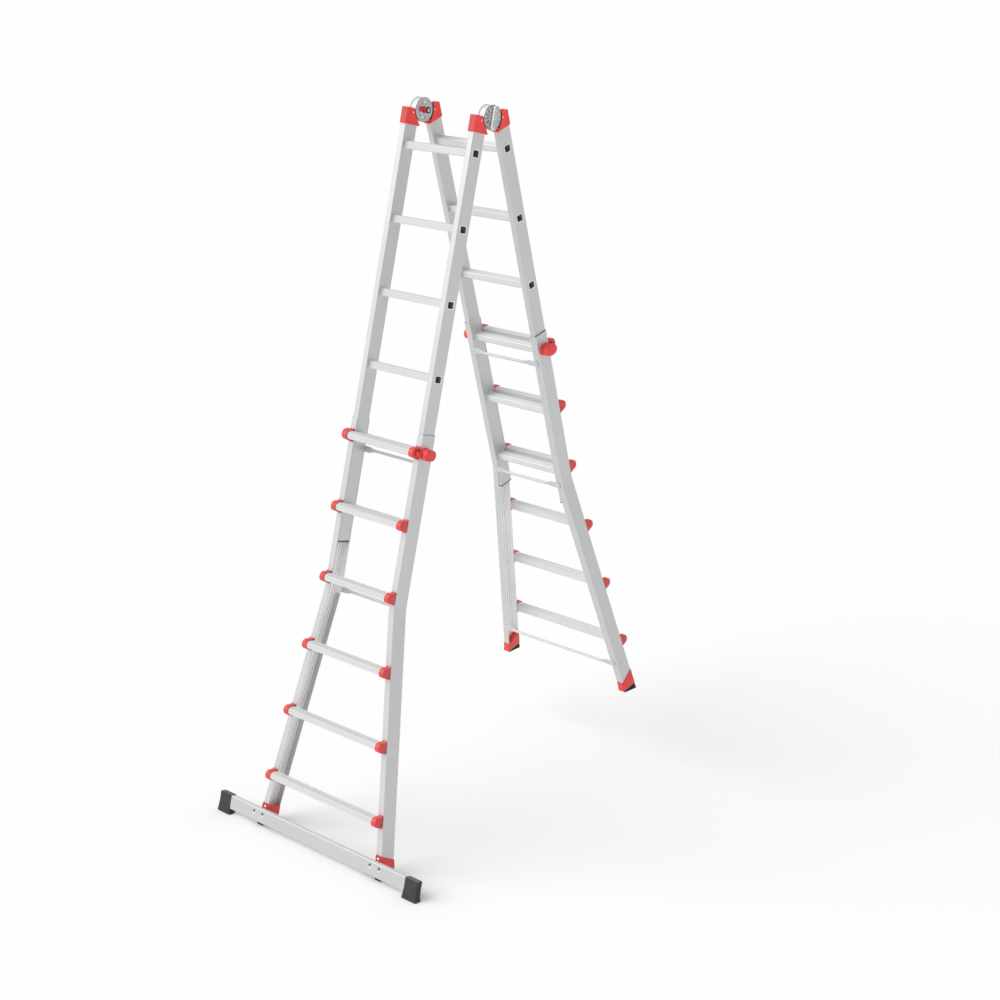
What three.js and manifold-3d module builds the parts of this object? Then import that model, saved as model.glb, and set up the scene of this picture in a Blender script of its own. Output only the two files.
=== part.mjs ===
// Multi position ladder: four telescoping sections of six rungs on two locking hinges.
// Millimetres, +Z up, X across the ladder (right is +X), front towards -Y.
// Origin on the floor in the middle of the footprint.
// Each half is modelled in its own frame, then tilted about the hinge axis:
//   x across, w away from the other half (y = ySign * w), v down from the hinge axis (z = -v).
import * as THREE from 'three';
import Module from 'manifold-3d';

const wasm = await Module();
wasm.setup();
const { Manifold, Mesh: ManifoldMesh } = wasm;

// ---- driving dimensions ----
const HINGE_Y = -9.98;
const HINGE_Z = 2781.8;
const FRONT_TILT = 13.52;        // degrees from vertical
const REAR_TILT = 16.11;
const GAP = 0.3;                 // clearance between neighbouring parts

const RUNG_COUNT = 6;
const PITCH = 280;               // rung spacing
const RUNG1_V = 141;             // first inner rung
const STILE_W = 53.8;            // centre of the stile depth
const THROUGH_STILE = [150, 195];   // x range of a cutter that passes right through a stile

const INNER_DEPTH = 64;
const INNER = {
  x0: 160, x1: 185.3, wall: 2, top: 50, bottom: 1675,
  w0: STILE_W - INNER_DEPTH / 2, w1: STILE_W + INNER_DEPTH / 2,
};
const OUTER_DEPTH = 69.6;
const OUTER = {
  x0: 159.5, x1: 188, wall: 2,
  w0: STILE_W - OUTER_DEPTH / 2, w1: STILE_W + OUTER_DEPTH / 2,
  head: 69.5,                    // stile above the first outer rung
  bendBelow: 604,                // straight stile below the first outer rung
};
const FLARE = Math.tan(THREE.MathUtils.degToRad(8.84));   // outward x per v below the bend
const FLARE_STRETCH = Math.hypot(1, FLARE);   // x width over true width on the flared part
const FOOT_SEAM = 17;            // sole thickness at the stile centre
const STILE_END = 6;             // outer stile stops this far above the seam

const SLOT_RADIUS = 29;          // hinge lock slots and pins, from the hinge axis
const SPINDLE_BORE = 4.9;        // radius
const LOCK_PULLED = 4;           // right hinge lock is drawn out this far of its 15
const CAP_EDGE_W = INNER.w1 + 3.6;

// What differs between the halves. In x: armX, drumX and plateX.
const FRONT = {
  name: 'front', ySign: -1, tilt: FRONT_TILT,
  floorZ: 0,
  soleV: 2874.3,
  firstOuter: RUNG1_V + 4 * PITCH,
  footRim: [                     // w, height over the seam
    [STILE_W + 10, 65], [STILE_W, 62], [STILE_W - 15, 56], [OUTER.w0, 46], [OUTER.w0 - 20, 38],
  ],
  capFoot: [[12, 60], [9, 64.5], [10.5, 66.2], [CAP_EDGE_W, 66.5]],   // w, v
  armX: [174, 181], drumX: [172.8, 185.8], plateX: [185.6, 188.6],
  bore: SPINDLE_BORE,
  slotLean: 0,                   // degrees from z towards +y
  rods: [[0, 49], [2, 49]],      // rungs past the first outer one, distance below that rung
};
const REAR = {
  name: 'rear', ySign: 1, tilt: REAR_TILT,
  floorZ: 300,                   // the rear feet stand on a higher level
  soleV: 2599,
  firstOuter: RUNG1_V + 3 * PITCH,
  footRim: [[OUTER.w0 + 8, 38], [OUTER.w0 - 20, 38]],
  capFoot: [[17, 53.5], [14.5, 57.4], [16, 59], [CAP_EDGE_W, 54]],
  armX: [163, 170], drumX: [159.4, 172.2], plateX: [156.8, 159.6],
  bore: 13,
  slotLean: FRONT_TILT + REAR_TILT,
  rods: [[0, 50], [2, 50], [5, 67]],
};
const SIDES = { left: -1, right: 1 };
const CENTRED = 1;               // side sign of a piece that spans the ladder

const bendV = half => half.firstOuter + OUTER.bendBelow;
const seamV = half => half.soleV - FOOT_SEAM;
const flareAt = (half, v) => Math.max(0, v - bendV(half)) * FLARE;

// ---- materials ----
const standard = settings => new THREE.MeshStandardMaterial(settings);
const aluminium = standard({
  name: 'aluminium', color: 0xc9cacb, roughness: 0.42, metalness: 0.9,
});
const redPlastic = standard({
  name: 'red_plastic', color: 0xd23a34, roughness: 0.45, metalness: 0,
});
const zincSteel = standard({
  name: 'zinc_steel', color: 0xb9bec2, roughness: 0.35, metalness: 0.95,
});
const rubber = standard({
  name: 'rubber', color: 0x3e3f40, roughness: 0.85, metalness: 0,
});

// ---- solids ----
const join = (...solids) => solids.reduce((whole, part) => whole.add(part));
const cut = (solid, ...cutters) => cutters.reduce((rest, cutter) => rest.subtract(cutter), solid);

// Welds the corners of an unindexed geometry and drops collapsed triangles.
function toManifold(geometry) {
  const position = geometry.getAttribute('position');
  const indexOf = new Map();
  const vertices = [];
  const corners = [];
  for (let i = 0; i < position.count; i++) {
    const point = [position.getX(i), position.getY(i), position.getZ(i)];
    const key = point.map(c => Math.round(c * 1e4)).join();
    if (!indexOf.has(key)) {
      indexOf.set(key, vertices.length / 3);
      vertices.push(...point);
    }
    corners.push(indexOf.get(key));
  }
  const triangles = [];
  for (let i = 0; i < corners.length; i += 3) {
    const triangle = corners.slice(i, i + 3);
    if (new Set(triangle).size === 3) triangles.push(...triangle);
  }
  return new Manifold(new ManifoldMesh({
    numProp: 3,
    vertProperties: new Float32Array(vertices),
    triVerts: new Uint32Array(triangles),
  }));
}

// Flat shaded geometry of a solid.
function toGeometry(solid) {
  const { vertProperties, triVerts } = solid.getMesh();
  const indexed = new THREE.BufferGeometry();
  indexed.setAttribute('position', new THREE.BufferAttribute(vertProperties, 3));
  indexed.setIndex(new THREE.BufferAttribute(triVerts, 1));
  const geometry = indexed.toNonIndexed();
  geometry.computeVertexNormals();
  return geometry;
}

// Where the outline's two axes and the extrusion direction point.
const X = new THREE.Vector3(1, 0, 0);
const Y = new THREE.Vector3(0, 1, 0);
const Z = new THREE.Vector3(0, 0, 1);
const YZ_ALONG_X = [Y, Z, X];
const ZX_ALONG_Y = [Z, X, Y];
const XY_ALONG_Z = [X, Y, Z];

// Prism between two ends given in either order. Holes are outlines cut right through.
function prism(axes, outline, endA, endB, holes = []) {
  const from = Math.min(endA, endB);
  const to = Math.max(endA, endB);
  const shape = new THREE.Shape(outline.map(([x, y]) => new THREE.Vector2(x, y)));
  const geometry = new THREE.ExtrudeGeometry(shape, {
    depth: to - from, bevelEnabled: false, steps: 1, curveSegments: 8,
  });
  geometry.translate(0, 0, from);
  geometry.applyMatrix4(new THREE.Matrix4().makeBasis(...axes));
  return cut(toManifold(geometry), ...holes.map(hole => prism(axes, hole, from - 1, to + 1)));
}

// Prisms in a half's frame. side is -1 on the left, +1 on the right, and mirrors x.
// Outline in (w, v), extruded in x.
function alongX(half, side, outline, x0, x1, holes = []) {
  const place = points => points.map(([w, v]) => [half.ySign * w, -v]);
  return prism(YZ_ALONG_X, place(outline), side * x0, side * x1, holes.map(place));
}
// Outline in (x, v), extruded in w.
function alongW(half, side, outline, w0, w1) {
  const placed = outline.map(([x, v]) => [-v, side * x]);
  return prism(ZX_ALONG_Y, placed, half.ySign * w0, half.ySign * w1);
}
// Outline in (x, w), extruded in v.
function alongV(half, side, outline, v0, v1, holes = []) {
  const place = points => points.map(([x, w]) => [side * x, half.ySign * w]);
  return prism(XY_ALONG_Z, place(outline), -v0, -v1, holes.map(place));
}

// Everything below the level a half stands on, in that half's frame.
function belowFloor(half) {
  const depth = 400;
  return Manifold.cube([3000, 3000, depth], true)
    .translate([0, 0, half.floorZ - depth / 2 - HINGE_Z])
    .rotate([-half.ySign * half.tilt, 0, 0]);
}

// ---- outlines ----
const shift = (points, dx, dy) => points.map(([x, y]) => [x + dx, y + dy]);
const rect = (x0, x1, y0, y1) => [[x0, y0], [x1, y0], [x1, y1], [x0, y1]];

// Points of an arc about the origin, both ends included, angles in degrees.
function arc(radius, segments, start, end) {
  return Array.from({ length: segments + 1 }, (_, i) => {
    const angle = THREE.MathUtils.degToRad(start + (end - start) * i / segments);
    return [radius * Math.cos(angle), radius * Math.sin(angle)];
  });
}
const circle = (cx, cy, radius, segments) =>
  shift(arc(radius, segments, 0, 360).slice(0, -1), cx, cy);

function roundRect(cx, cy, width, height, radius, segments) {
  const dx = width / 2 - radius;
  const dy = height / 2 - radius;
  return [[1, 1], [-1, 1], [-1, -1], [1, -1]].flatMap(([signX, signY], i) =>
    shift(arc(radius, segments, 90 * i, 90 * (i + 1)), cx + signX * dx, cy + signY * dy));
}

// Ellipse with slightly squared shoulders.
function oval(cx, cy, halfWidth, halfHeight) {
  const swell = value => Math.sign(value) * Math.abs(value) ** 0.85;
  return circle(0, 0, 1, 32).map(([x, y]) => [cx + halfWidth * swell(x), cy + halfHeight * swell(y)]);
}

function rotate(points, degrees) {
  const angle = THREE.MathUtils.degToRad(degrees);
  const c = Math.cos(angle);
  const s = Math.sin(angle);
  return points.map(([x, y]) => [x * c - y * s, x * s + y * c]);
}

// ---- stiles ----
// Box section with a window through both walls at every rung.
function innerStile(half, side) {
  const { x0, x1, w0, w1, wall } = INNER;
  const hollow = rect(x0 + wall, x1 - wall, w0 + wall, w1 - wall);
  const box = alongV(half, side, rect(x0, x1, w0, w1), INNER.top, INNER.bottom, [hollow]);
  const windows = Array.from({ length: RUNG_COUNT }, (_, i) => {
    const outline = roundRect(STILE_W, RUNG1_V + i * PITCH,
      INNER_RUNG.depth + 2 * GAP, INNER_RUNG.height + 2 * GAP, 6.2, 2);
    return alongX(half, side, outline, ...THROUGH_STILE);
  });
  return cut(box, ...windows);
}

// Web and two flanges of the outer stile, grown by a clearance.
// strip(x0, x1) gives the (x, v) outline of a part that spans x0 to x1 above the bend.
function channel(half, side, strip, clearance = 0) {
  const { x0, x1, w0, w1, wall } = OUTER;
  const near = w0 - clearance;
  const far = w1 + clearance;
  return join(
    alongW(half, side, strip(x1 - wall, x1), near, far),
    alongW(half, side, strip(x0, x1), near, w0 + wall + clearance),
    alongW(half, side, strip(x0, x1), w1 - wall - clearance, far));
}

// Channel open towards the middle. It wraps the inner stile and flares outward below the bend.
function outerStile(half, side) {
  const top = half.firstOuter - OUTER.head;
  const bend = bendV(half);
  const end = seamV(half) - STILE_END;
  const flare = flareAt(half, end);
  const strip = (x0, x1) => {
    const flaredX0 = x1 - (x1 - x0) * FLARE_STRETCH;
    return [
      [x0, top], [x1, top], [x1, bend], [x1 + flare, end],
      [flaredX0 + flare, end], [flaredX0, bend + 0.01], [x0, bend],
    ];
  };
  const pinHole = alongX(half, side, circle(STILE_W, half.firstOuter, 9, 16), 180, 195);
  return cut(channel(half, side, strip), pinHole);
}

// (x, v) outline of a part of the flared channel between v0 and v1, grown sideways.
function flaredStrip(half, x0, x1, v0, v1, clearance) {
  const left = x1 - (x1 - x0) * FLARE_STRETCH - clearance;
  const right = x1 + clearance;
  const flare0 = flareAt(half, v0);
  const flare1 = flareAt(half, v1);
  return [[left + flare0, v0], [right + flare0, v0], [right + flare1, v1], [left + flare1, v1]];
}

// Shell and plug around the stile end with its sole, flat on the floor.
function foot(half, side) {
  const seam = seamV(half);
  const top = seam - 67;
  const bottom = half.soleV + 40;   // past the floor, trimmed below
  const shell = 3;
  const slotGap = 0.35;
  const body = alongW(half, side,
    flaredStrip(half, OUTER.x0, OUTER.x1, top, bottom, shell),
    OUTER.w0 - shell, OUTER.w1 + shell - 0.3);
  // the rim drops towards the other half
  const overRim = alongX(half, side, [
    [OUTER.w0 - 20, top - 5], [OUTER.w1 - 6, top - 5], [OUTER.w1 - 6, top],
    ...half.footRim.map(([w, height]) => [w, seam - height]),
  ], 200, 420);
  const slotStrip = (x0, x1) =>
    flaredStrip(half, x0, x1, top - 20, seam - STILE_END + 0.6, slotGap);
  return cut(body, overRim, channel(half, side, slotStrip, slotGap), belowFloor(half));
}

// Telescoping lock: thick oval knob outside the stile, neck to the rung end, boss into the web.
function lockGrip(half, side) {
  const v = half.firstOuter;
  const knob = [                 // centre w, half width, half height, x from, x to
    [63, 30, 22.5, 188.7, 197],
    [65.5, 29.5, 22, 196, 222],
    [66, 27.5, 20.5, 221, 225],
  ].map(([w, halfWidth, halfHeight, x0, x1]) =>
    alongX(half, side, oval(w, v + 2, halfWidth, halfHeight), x0, x1));
  const neckOutline = [[188.7, 86], [203, 86], [203, 110], [200.5, 112.8], [188.7, 113]];
  const neck = alongV(half, side, neckOutline, v - 7, v + 9);
  const boss = alongX(half, side, circle(STILE_W, v, 7, 12), 186.2, 196);
  return join(...knob, neck, boss);
}

// ---- hinges ----
// Cover over the top of the inner stile, hollowed for the stile and the hinge arm.
function hingeCap(half, side) {
  const armGap = 0.6;
  const outline = [
    [CAP_EDGE_W, 5], [INNER.w1 + 0.5, 2.2], ...arc(47.6, 12, 4, 52), ...half.capFoot,
  ];
  const stilePocket = rect(INNER.x0 - GAP, INNER.x1 + GAP, INNER.w0 - GAP, INNER.w1 + GAP);
  const armPocket = [
    [20, -5], [60, 10], [INNER.w1 - 2, 40], [INNER.w1 - 2, 75], [22, 75], [22, 60], [5, 40],
  ];
  return cut(
    alongX(half, side, outline, 157, 188.4),
    alongV(half, side, stilePocket, INNER.top - 1, 80),
    alongX(half, side, armPocket, half.armX[0] - armGap, half.armX[1] + armGap));
}

// Drum, rim plate and the arm that runs down inside the stile. The slots take the lock pins.
function hingeDisc(half, side) {
  const armOutline = [
    [20, 0], [58, 16], [INNER.w1 - 4, 44], [INNER.w1 - 4, 118],
    [INNER.w0 + 4, 118], [INNER.w0 + 4, 47], [14, 30],
  ];
  const body = join(
    alongX(half, side, circle(0, 0, 43, 36), ...half.drumX),
    alongX(half, side, circle(0, 0, 46.5, 40), ...half.plateX),
    alongX(half, side, armOutline, ...half.armX));
  const slots = [1, -1].map(end =>
    rotate(roundRect(0, end * SLOT_RADIUS, 24, 10.5, 5, 3), -half.slotLean));
  const bores = [circle(0, 0, half.bore, 20), ...slots].map(outline =>
    prism(YZ_ALONG_X, outline, ...THROUGH_STILE.map(x => side * x)));
  return cut(body, join(...bores));
}

// Outer lever plate with two pins, the spindle and the washer on its inner end.
function lockLever(side, pulled) {
  const plateX = 198.6 + pulled;
  const turned = (outline, x0, x1) => alongX(FRONT, side, outline, x0, x1);
  return join(
    turned(roundRect(0, 0, 30, 90, 13, 4), plateX - 3, plateX + 3),
    turned(circle(0, SLOT_RADIUS, 4, 12), 173.2 + pulled, plateX + 1),
    turned(circle(0, -SLOT_RADIUS, 4, 12), 173.2 + pulled, plateX + 1),
    turned(circle(0, 0, 4.5, 16), 133 + pulled, plateX + 1),
    turned(circle(0, 0, 9.5, 20), 132 + pulled, 134.6 + pulled));
}

// Round knob on the spindle, on the inner side of the hinge.
function lockKnob(side, pulled) {
  return alongX(FRONT, side, circle(0, 0, 12.5, 24), 135 + pulled, 157.2 + pulled,
    [circle(0, 0, SPINDLE_BORE, 16)]);
}

// ---- rungs and tie rods ----
const INNER_RUNG = { depth: 34, height: 30, wall: 2, halfLength: 185.1 };

// Oblong tube through both stiles.
function innerRung(half, v) {
  const { depth, height, wall, halfLength } = INNER_RUNG;
  return alongX(half, CENTRED, roundRect(STILE_W, v, depth, height, 6, 2),
    -halfLength, halfLength,
    [roundRect(STILE_W, v, depth - 2 * wall, height - 2 * wall, 4.4, 2)]);
}

// Outer rung sections: w from just off the stile flange, v about the rung height.
// Flat tread on top, round nose, underside falling back to the stile.
const RUNG_BODY = [
  [0.3, -17], [23, -17], [30.5, -14], [35.5, -8], [37, 0], [35, 7.5], [29, 13], [16, 16],
  [0.3, 17.5],
];
const RUNG_BORE = [
  [3, -14.6], [22, -14.6], [28.4, -12], [32.6, -7], [34, 0], [32, 5.6], [27, 10.4], [15, 13.2],
  [3, 14.4],
];
const RUNG_CAP = [
  [0, -26.5], [5, -26.5], [8.5, -21.8], [24.5, -21.2], [33.6, -18], [40, -10.2], [41.8, 0],
  [39.6, 10.2], [32.4, 17.4], [18, 21.4], [0, 26.5],
];

// Outer rung with its end caps, on the stile faces away from the other half.
function outerRung(half, v) {
  const end = 183 + flareAt(half, v) * 0.97;
  const piece = (outline, x0, x1) =>
    alongX(half, CENTRED, shift(outline, OUTER.w1 + GAP, v), x0, x1);
  const solid = join(
    piece(RUNG_BODY, -end, end),
    piece(RUNG_CAP, -end - 4, -end + 18),
    piece(RUNG_CAP, end - 18, end + 4));
  return cut(solid, piece(RUNG_BORE, -end - 5, end + 5));
}

const ROD_FLAT = [               // x from the flange centre, v from the rod axis
  [-70, -4], [-40, -12], [2, -12], [8, -6], [8, 6], [2, 12], [-40, 12], [-70, 4],
];

// Round bar with flattened ends, on the stile faces towards the other half.
function tieRod(half, v) {
  const flangeX = 172 + flareAt(half, v);
  const barEnd = flangeX - 50;
  const face = OUTER.w0 - GAP;
  const flat = side =>
    alongW(half, side, shift(ROD_FLAT, flangeX, v), OUTER.w0 - 3.4, face);
  const bar = alongX(half, CENTRED, circle(face - 5.6, v, 5.5, 12), -barEnd, barEnd);
  return join(bar, flat(SIDES.left), flat(SIDES.right));
}

// ---- stabiliser: crossbar on the front of the front legs, flared feet on its ends ----
const BAR = { w0: OUTER.w1 + 4.6, w1: 116.6, v0: 2809, v1: 2865, halfLength: 545 };

function stabiliserBar() {
  const { w0, w1, v0, v1, halfLength } = BAR;
  const section = (inset, radius, segments) => roundRect((w0 + w1) / 2, (v0 + v1) / 2,
    w1 - w0 - 2 * inset, v1 - v0 - 2 * inset, radius, segments);
  return alongX(FRONT, CENTRED, section(0, 3, 2), -halfLength, halfLength,
    [section(2, 1.5, 1)]);
}

// The foot is where its front outline (x, v) and its side outline (w, v) meet.
function stabiliserFoot(side) {
  const { w0, w1, v0, v1, halfLength } = BAR;
  const frontView = alongW(FRONT, side, [
    [488, 2807], [551.5, 2807], [552.5, 2845], [559.5, 2900], [481.5, 2900], [487, 2850],
  ], 60, 140);
  const sideView = alongX(FRONT, side, [
    [w0 - 1.8, 2807], [w1 + 1.8, 2807], [w1 + 1.8, 2860], [w1 + 3.4, 2900],
    [w0 - 8, 2900], [w0 - 8, 2888], [w0 - 1.8, 2872],
  ], 470, 570);
  const socket = alongV(FRONT, side, rect(470, halfLength + 0.6, w0 - GAP, w1 + GAP),
    v0 - GAP, v1 + GAP);
  return cut(frontView.intersect(sideView), socket, belowFloor(FRONT));
}

// ---- assembly ----
const group = new THREE.Group();
group.position.y = HINGE_Y;
for (const half of [FRONT, REAR]) {
  half.group = new THREE.Group();
  half.group.position.z = HINGE_Z;
  half.group.rotation.x = half.ySign * THREE.MathUtils.degToRad(half.tilt);
  group.add(half.group);
}

function addPiece(half, name, solid, material) {
  const mesh = new THREE.Mesh(toGeometry(solid), material.clone());
  mesh.name = name;
  half.group.add(mesh);
}

for (const half of [FRONT, REAR]) {
  const tag = half.name;
  for (const [sideName, side] of Object.entries(SIDES)) {
    addPiece(half, `${tag}_inner_stile_${sideName}`, innerStile(half, side), aluminium);
    addPiece(half, `${tag}_outer_stile_${sideName}`, outerStile(half, side), aluminium);
    addPiece(half, `${tag}_foot_${sideName}`, foot(half, side), redPlastic);
    addPiece(half, `${tag}_lock_grip_${sideName}`, lockGrip(half, side), redPlastic);
    addPiece(half, `hinge_${tag}_cap_${sideName}`, hingeCap(half, side), redPlastic);
    addPiece(half, `hinge_${tag}_disc_${sideName}`, hingeDisc(half, side), zincSteel);
  }
  for (let i = 0; i < RUNG_COUNT; i++) {
    addPiece(half, `${tag}_inner_rung_${i + 1}`, innerRung(half, RUNG1_V + i * PITCH), aluminium);
  }
  for (let i = 0; i < RUNG_COUNT; i++) {
    const v = half.firstOuter + i * PITCH;
    addPiece(half, `${tag}_outer_rung_${i + 1}`, outerRung(half, v), aluminium);
  }
  half.rods.forEach(([rung, below], i) => {
    const v = half.firstOuter + rung * PITCH + below;
    addPiece(half, `${tag}_tie_rod_${i + 1}`, tieRod(half, v), aluminium);
  });
}

for (const [sideName, side] of Object.entries(SIDES)) {
  const pulled = side === SIDES.right ? LOCK_PULLED : 0;
  addPiece(FRONT, `hinge_lock_lever_${sideName}`, lockLever(side, pulled), zincSteel);
  addPiece(FRONT, `hinge_lock_knob_${sideName}`, lockKnob(side, pulled), redPlastic);
}

addPiece(FRONT, 'stabiliser_bar', stabiliserBar(), aluminium);
for (const [sideName, side] of Object.entries(SIDES)) {
  addPiece(FRONT, `stabiliser_foot_${sideName}`, stabiliserFoot(side), rubber);
}

export default group;
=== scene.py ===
# Multi-position telescoping ladder with a stabiliser bar, standing open. z is up and x runs across
# the rungs. The front half leans down toward -y, the rear half toward +y; they meet at the hinge.
# Shapes are modelled in millimetres in each half's own frame (see Half), then turned into metres.
from collections import namedtuple
from functools import cached_property
from math import acos, copysign, cos, hypot, pi, radians, sin, tan

import bmesh
import bpy
from mathutils import Matrix, Vector
from mathutils.geometry import tessellate_polygon


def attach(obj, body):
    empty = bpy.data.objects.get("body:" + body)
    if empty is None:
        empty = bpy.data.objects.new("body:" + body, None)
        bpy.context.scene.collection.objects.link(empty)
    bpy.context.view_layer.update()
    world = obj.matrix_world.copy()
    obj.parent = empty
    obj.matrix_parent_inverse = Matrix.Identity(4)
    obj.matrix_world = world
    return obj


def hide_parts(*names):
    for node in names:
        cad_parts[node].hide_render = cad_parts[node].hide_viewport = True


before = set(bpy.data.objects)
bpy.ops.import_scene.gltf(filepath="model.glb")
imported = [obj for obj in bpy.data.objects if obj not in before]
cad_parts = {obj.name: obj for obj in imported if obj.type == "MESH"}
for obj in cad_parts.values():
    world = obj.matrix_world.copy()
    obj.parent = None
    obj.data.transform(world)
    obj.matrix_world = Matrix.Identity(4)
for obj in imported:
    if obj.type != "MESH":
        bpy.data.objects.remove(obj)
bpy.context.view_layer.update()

# ---- driving dimensions, mm: x across, w away from the other half, v down from the hinge axis ----
HINGE_Z, HINGE_Y = 2781.8, -9.98
FRONT_TILT, REAR_TILT = 13.52, 16.11       # degrees from vertical
OPENING = FRONT_TILT + REAR_TILT
PITCH, TOP_RUNG_V, RUNG_COUNT = 280, 141, 6
MID_W = 53.8                               # middle of the stiles
OUTER_W0, OUTER_W1 = MID_W - 34.8, MID_W + 34.8
INNER_W0, INNER_W1 = MID_W - 32, MID_W + 32
INNER_X = 172.65                           # centre line of the inner stiles
INNER_TOP_V, INNER_END_V = 50, 1675
OUTER_X0, OUTER_X1 = 159.5, 188.0          # free edges of the flanges, outer face
OUTER_RUNG_W = OUTER_W1 + 0.3              # back of the outer rungs
FLARE = tan(radians(8.84))                 # sideways run of the outer stiles below the bend
FLARE_STRETCH = hypot(1, FLARE)
BEND_REACH = 24.0                          # the bend is soft this far up and down
SLOT_RADIUS = 29                           # hinge axis to the middle of the lock slots
SIDES = {"left": -1, "right": 1}           # sign of x


class Half:
    """One half of the ladder and its frame: x across, w away from the other half, v down."""

    def __init__(self, tag, y_sign, tilt, floor_z, top_outer_rung, sole_v, tie_rods):
        self.tag, self.y_sign, self.tilt = tag, y_sign, radians(tilt)
        self.inner, self.outer = f"{tag}_inner", f"{tag}_outer"
        self.floor_z, self.sole_v, self.tie_rods = floor_z, sole_v, tie_rods
        self.first_v = TOP_RUNG_V + top_outer_rung * PITCH
        self.outer_top_v = self.first_v - 69.5
        self.bend_v = self.first_v + 604
        origin = self.point(0, 0, 0)
        axes = [(self.point(*axis) - origin) * 1000 for axis in ((1, 0, 0), (0, 1, 0), (0, 0, 1))]
        rows = [[axis[i] for axis in axes] + [origin[i]] for i in range(3)]
        self.to_local = Matrix(rows + [[0, 0, 0, 1]]).inverted()

    def point(self, x, w, v):
        """Point in metres in the frame of the whole ladder."""
        sine, cosine = sin(self.tilt), cos(self.tilt)
        y = HINGE_Y + self.y_sign * (v * sine + w * cosine)
        return Vector((x, y, HINGE_Z - v * cosine + w * sine)) / 1000

    def floor_v(self, w):
        """v at which this half meets the level it stands on."""
        return (HINGE_Z - self.floor_z + w * sin(self.tilt)) / cos(self.tilt)

    def flare(self, v):
        """Sideways shift of the outer stile, with the soft bend."""
        past = v - self.bend_v
        if past <= -BEND_REACH:
            return 0.0
        if past >= BEND_REACH:
            return past * FLARE
        return FLARE * (past + BEND_REACH) ** 2 / (4 * BEND_REACH)


# Tie rods: (outer rung above the rod, drop below that rung)
FRONT = Half("front", -1, FRONT_TILT, floor_z=0.0, top_outer_rung=4, sole_v=2874.3,
             tie_rods=((0, 49), (2, 49)))
REAR = Half("rear", 1, REAR_TILT, floor_z=300.0, top_outer_rung=3, sole_v=2599.0,
            tie_rods=((0, 50), (2, 50), (5, 67)))
HALVES = (FRONT, REAR)


# ---- outlines: lists of 2D points ----------------------------------------------------------------
def inset(outline, distance):
    """Outline moved inward, or outward for a negative distance."""
    if not distance:
        return list(outline)
    pairs = zip(outline, outline[1:] + outline[:1])
    turn = 1 if sum(a[0] * b[1] - b[0] * a[1] for a, b in pairs) > 0 else -1
    moved = []
    for i, (x, y) in enumerate(outline):
        before, after = outline[i - 1], outline[(i + 1) % len(outline)]
        edge1, edge2 = (x - before[0], y - before[1]), (after[0] - x, after[1] - y)
        length1, length2 = hypot(*edge1) or 1e-9, hypot(*edge2) or 1e-9
        normal1 = (-edge1[1] / length1, edge1[0] / length1)
        normal2 = (-edge2[1] / length2, edge2[0] / length2)
        # The lower bound keeps sharp corners from shooting out
        spread = max(0.45, 1 + normal1[0] * normal2[0] + normal1[1] * normal2[1])
        k = distance * turn / spread
        moved.append((x + (normal1[0] + normal2[0]) * k, y + (normal1[1] + normal2[1]) * k))
    return moved


def rounded(points, radius=0.0, steps=4):
    """Polygon with rounded corners; a third number in a point is that corner's own radius."""
    outline = []
    for i, corner in enumerate(points):
        x, y = corner[:2]
        size = corner[2] if len(corner) > 2 else radius
        if not size:
            outline.append((x, y))
            continue
        before, after = points[i - 1], points[(i + 1) % len(points)]
        back, ahead = (before[0] - x, before[1] - y), (after[0] - x, after[1] - y)
        back_length, ahead_length = hypot(*back), hypot(*ahead)
        cosine = (back[0] * ahead[0] + back[1] * ahead[1]) / (back_length * ahead_length)
        angle = acos(max(-1, min(1, cosine)))
        if angle > 3.05 or angle < 0.02:
            outline.append((x, y))
            continue
        cut = min(size / tan(angle / 2), 0.49 * back_length, 0.49 * ahead_length)
        start = (x + back[0] / back_length * cut, y + back[1] / back_length * cut)
        end = (x + ahead[0] / ahead_length * cut, y + ahead[1] / ahead_length * cut)
        for k in range(steps + 1):
            t = k / steps
            outline.append(tuple((1 - t) ** 2 * a + 2 * t * (1 - t) * b + t * t * c
                                 for a, b, c in zip(start, (x, y), end)))
    return outline


def circle(cx, cy, radius, count=32):
    angles = [2 * pi * i / count for i in range(count)]
    return [(cx + radius * cos(a), cy + radius * sin(a)) for a in angles]


def arc(cx, cy, radius, start, end, steps):
    angles = [radians(start + (end - start) * i / steps) for i in range(steps + 1)]
    return [(cx + radius * cos(a), cy + radius * sin(a)) for a in angles]


def round_rect(cx, cy, width, height, radius, steps=4):
    x, y = width / 2, height / 2
    corners = [(cx - x, cy - y), (cx + x, cy - y), (cx + x, cy + y), (cx - x, cy + y)]
    return rounded(corners, radius, steps)


def superellipse(cx, cy, half_x, half_y, power_x, power_y, count):
    """Ellipse that grows squarer as its powers fall below 1."""
    outline = []
    for i in range(count):
        c, s = cos(2 * pi * (i + 0.5) / count), sin(2 * pi * (i + 0.5) / count)
        outline.append((cx + half_x * copysign(abs(c) ** power_x, c),
                        cy + half_y * copysign(abs(s) ** power_y, s)))
    return outline


def rotated(outline, degrees):
    c, s = cos(radians(degrees)), sin(radians(degrees))
    return [(x * c - y * s, x * s + y * c) for x, y in outline]


def grooves(start, end, count, width, depth, base):
    """Points of shallow grooves evenly spaced along an edge at height base."""
    points, pitch, q = [], (end - start) / count, width / 2
    for i in range(count):
        c = start + pitch * (i + 0.5)
        points += [(c - q, base), (c - q * 0.45, base + depth), (c + q * 0.45, base + depth),
                   (c + q, base)]
    return points


def interpolate(table, t):
    """Piecewise linear value at t; table: (t, value)."""
    if t <= table[0][0]:
        return table[0][1]
    for (a, x), (b, y) in zip(table, table[1:]):
        if t <= b:
            return x + (y - x) * (t - a) / (b - a)
    return table[-1][1]


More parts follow.
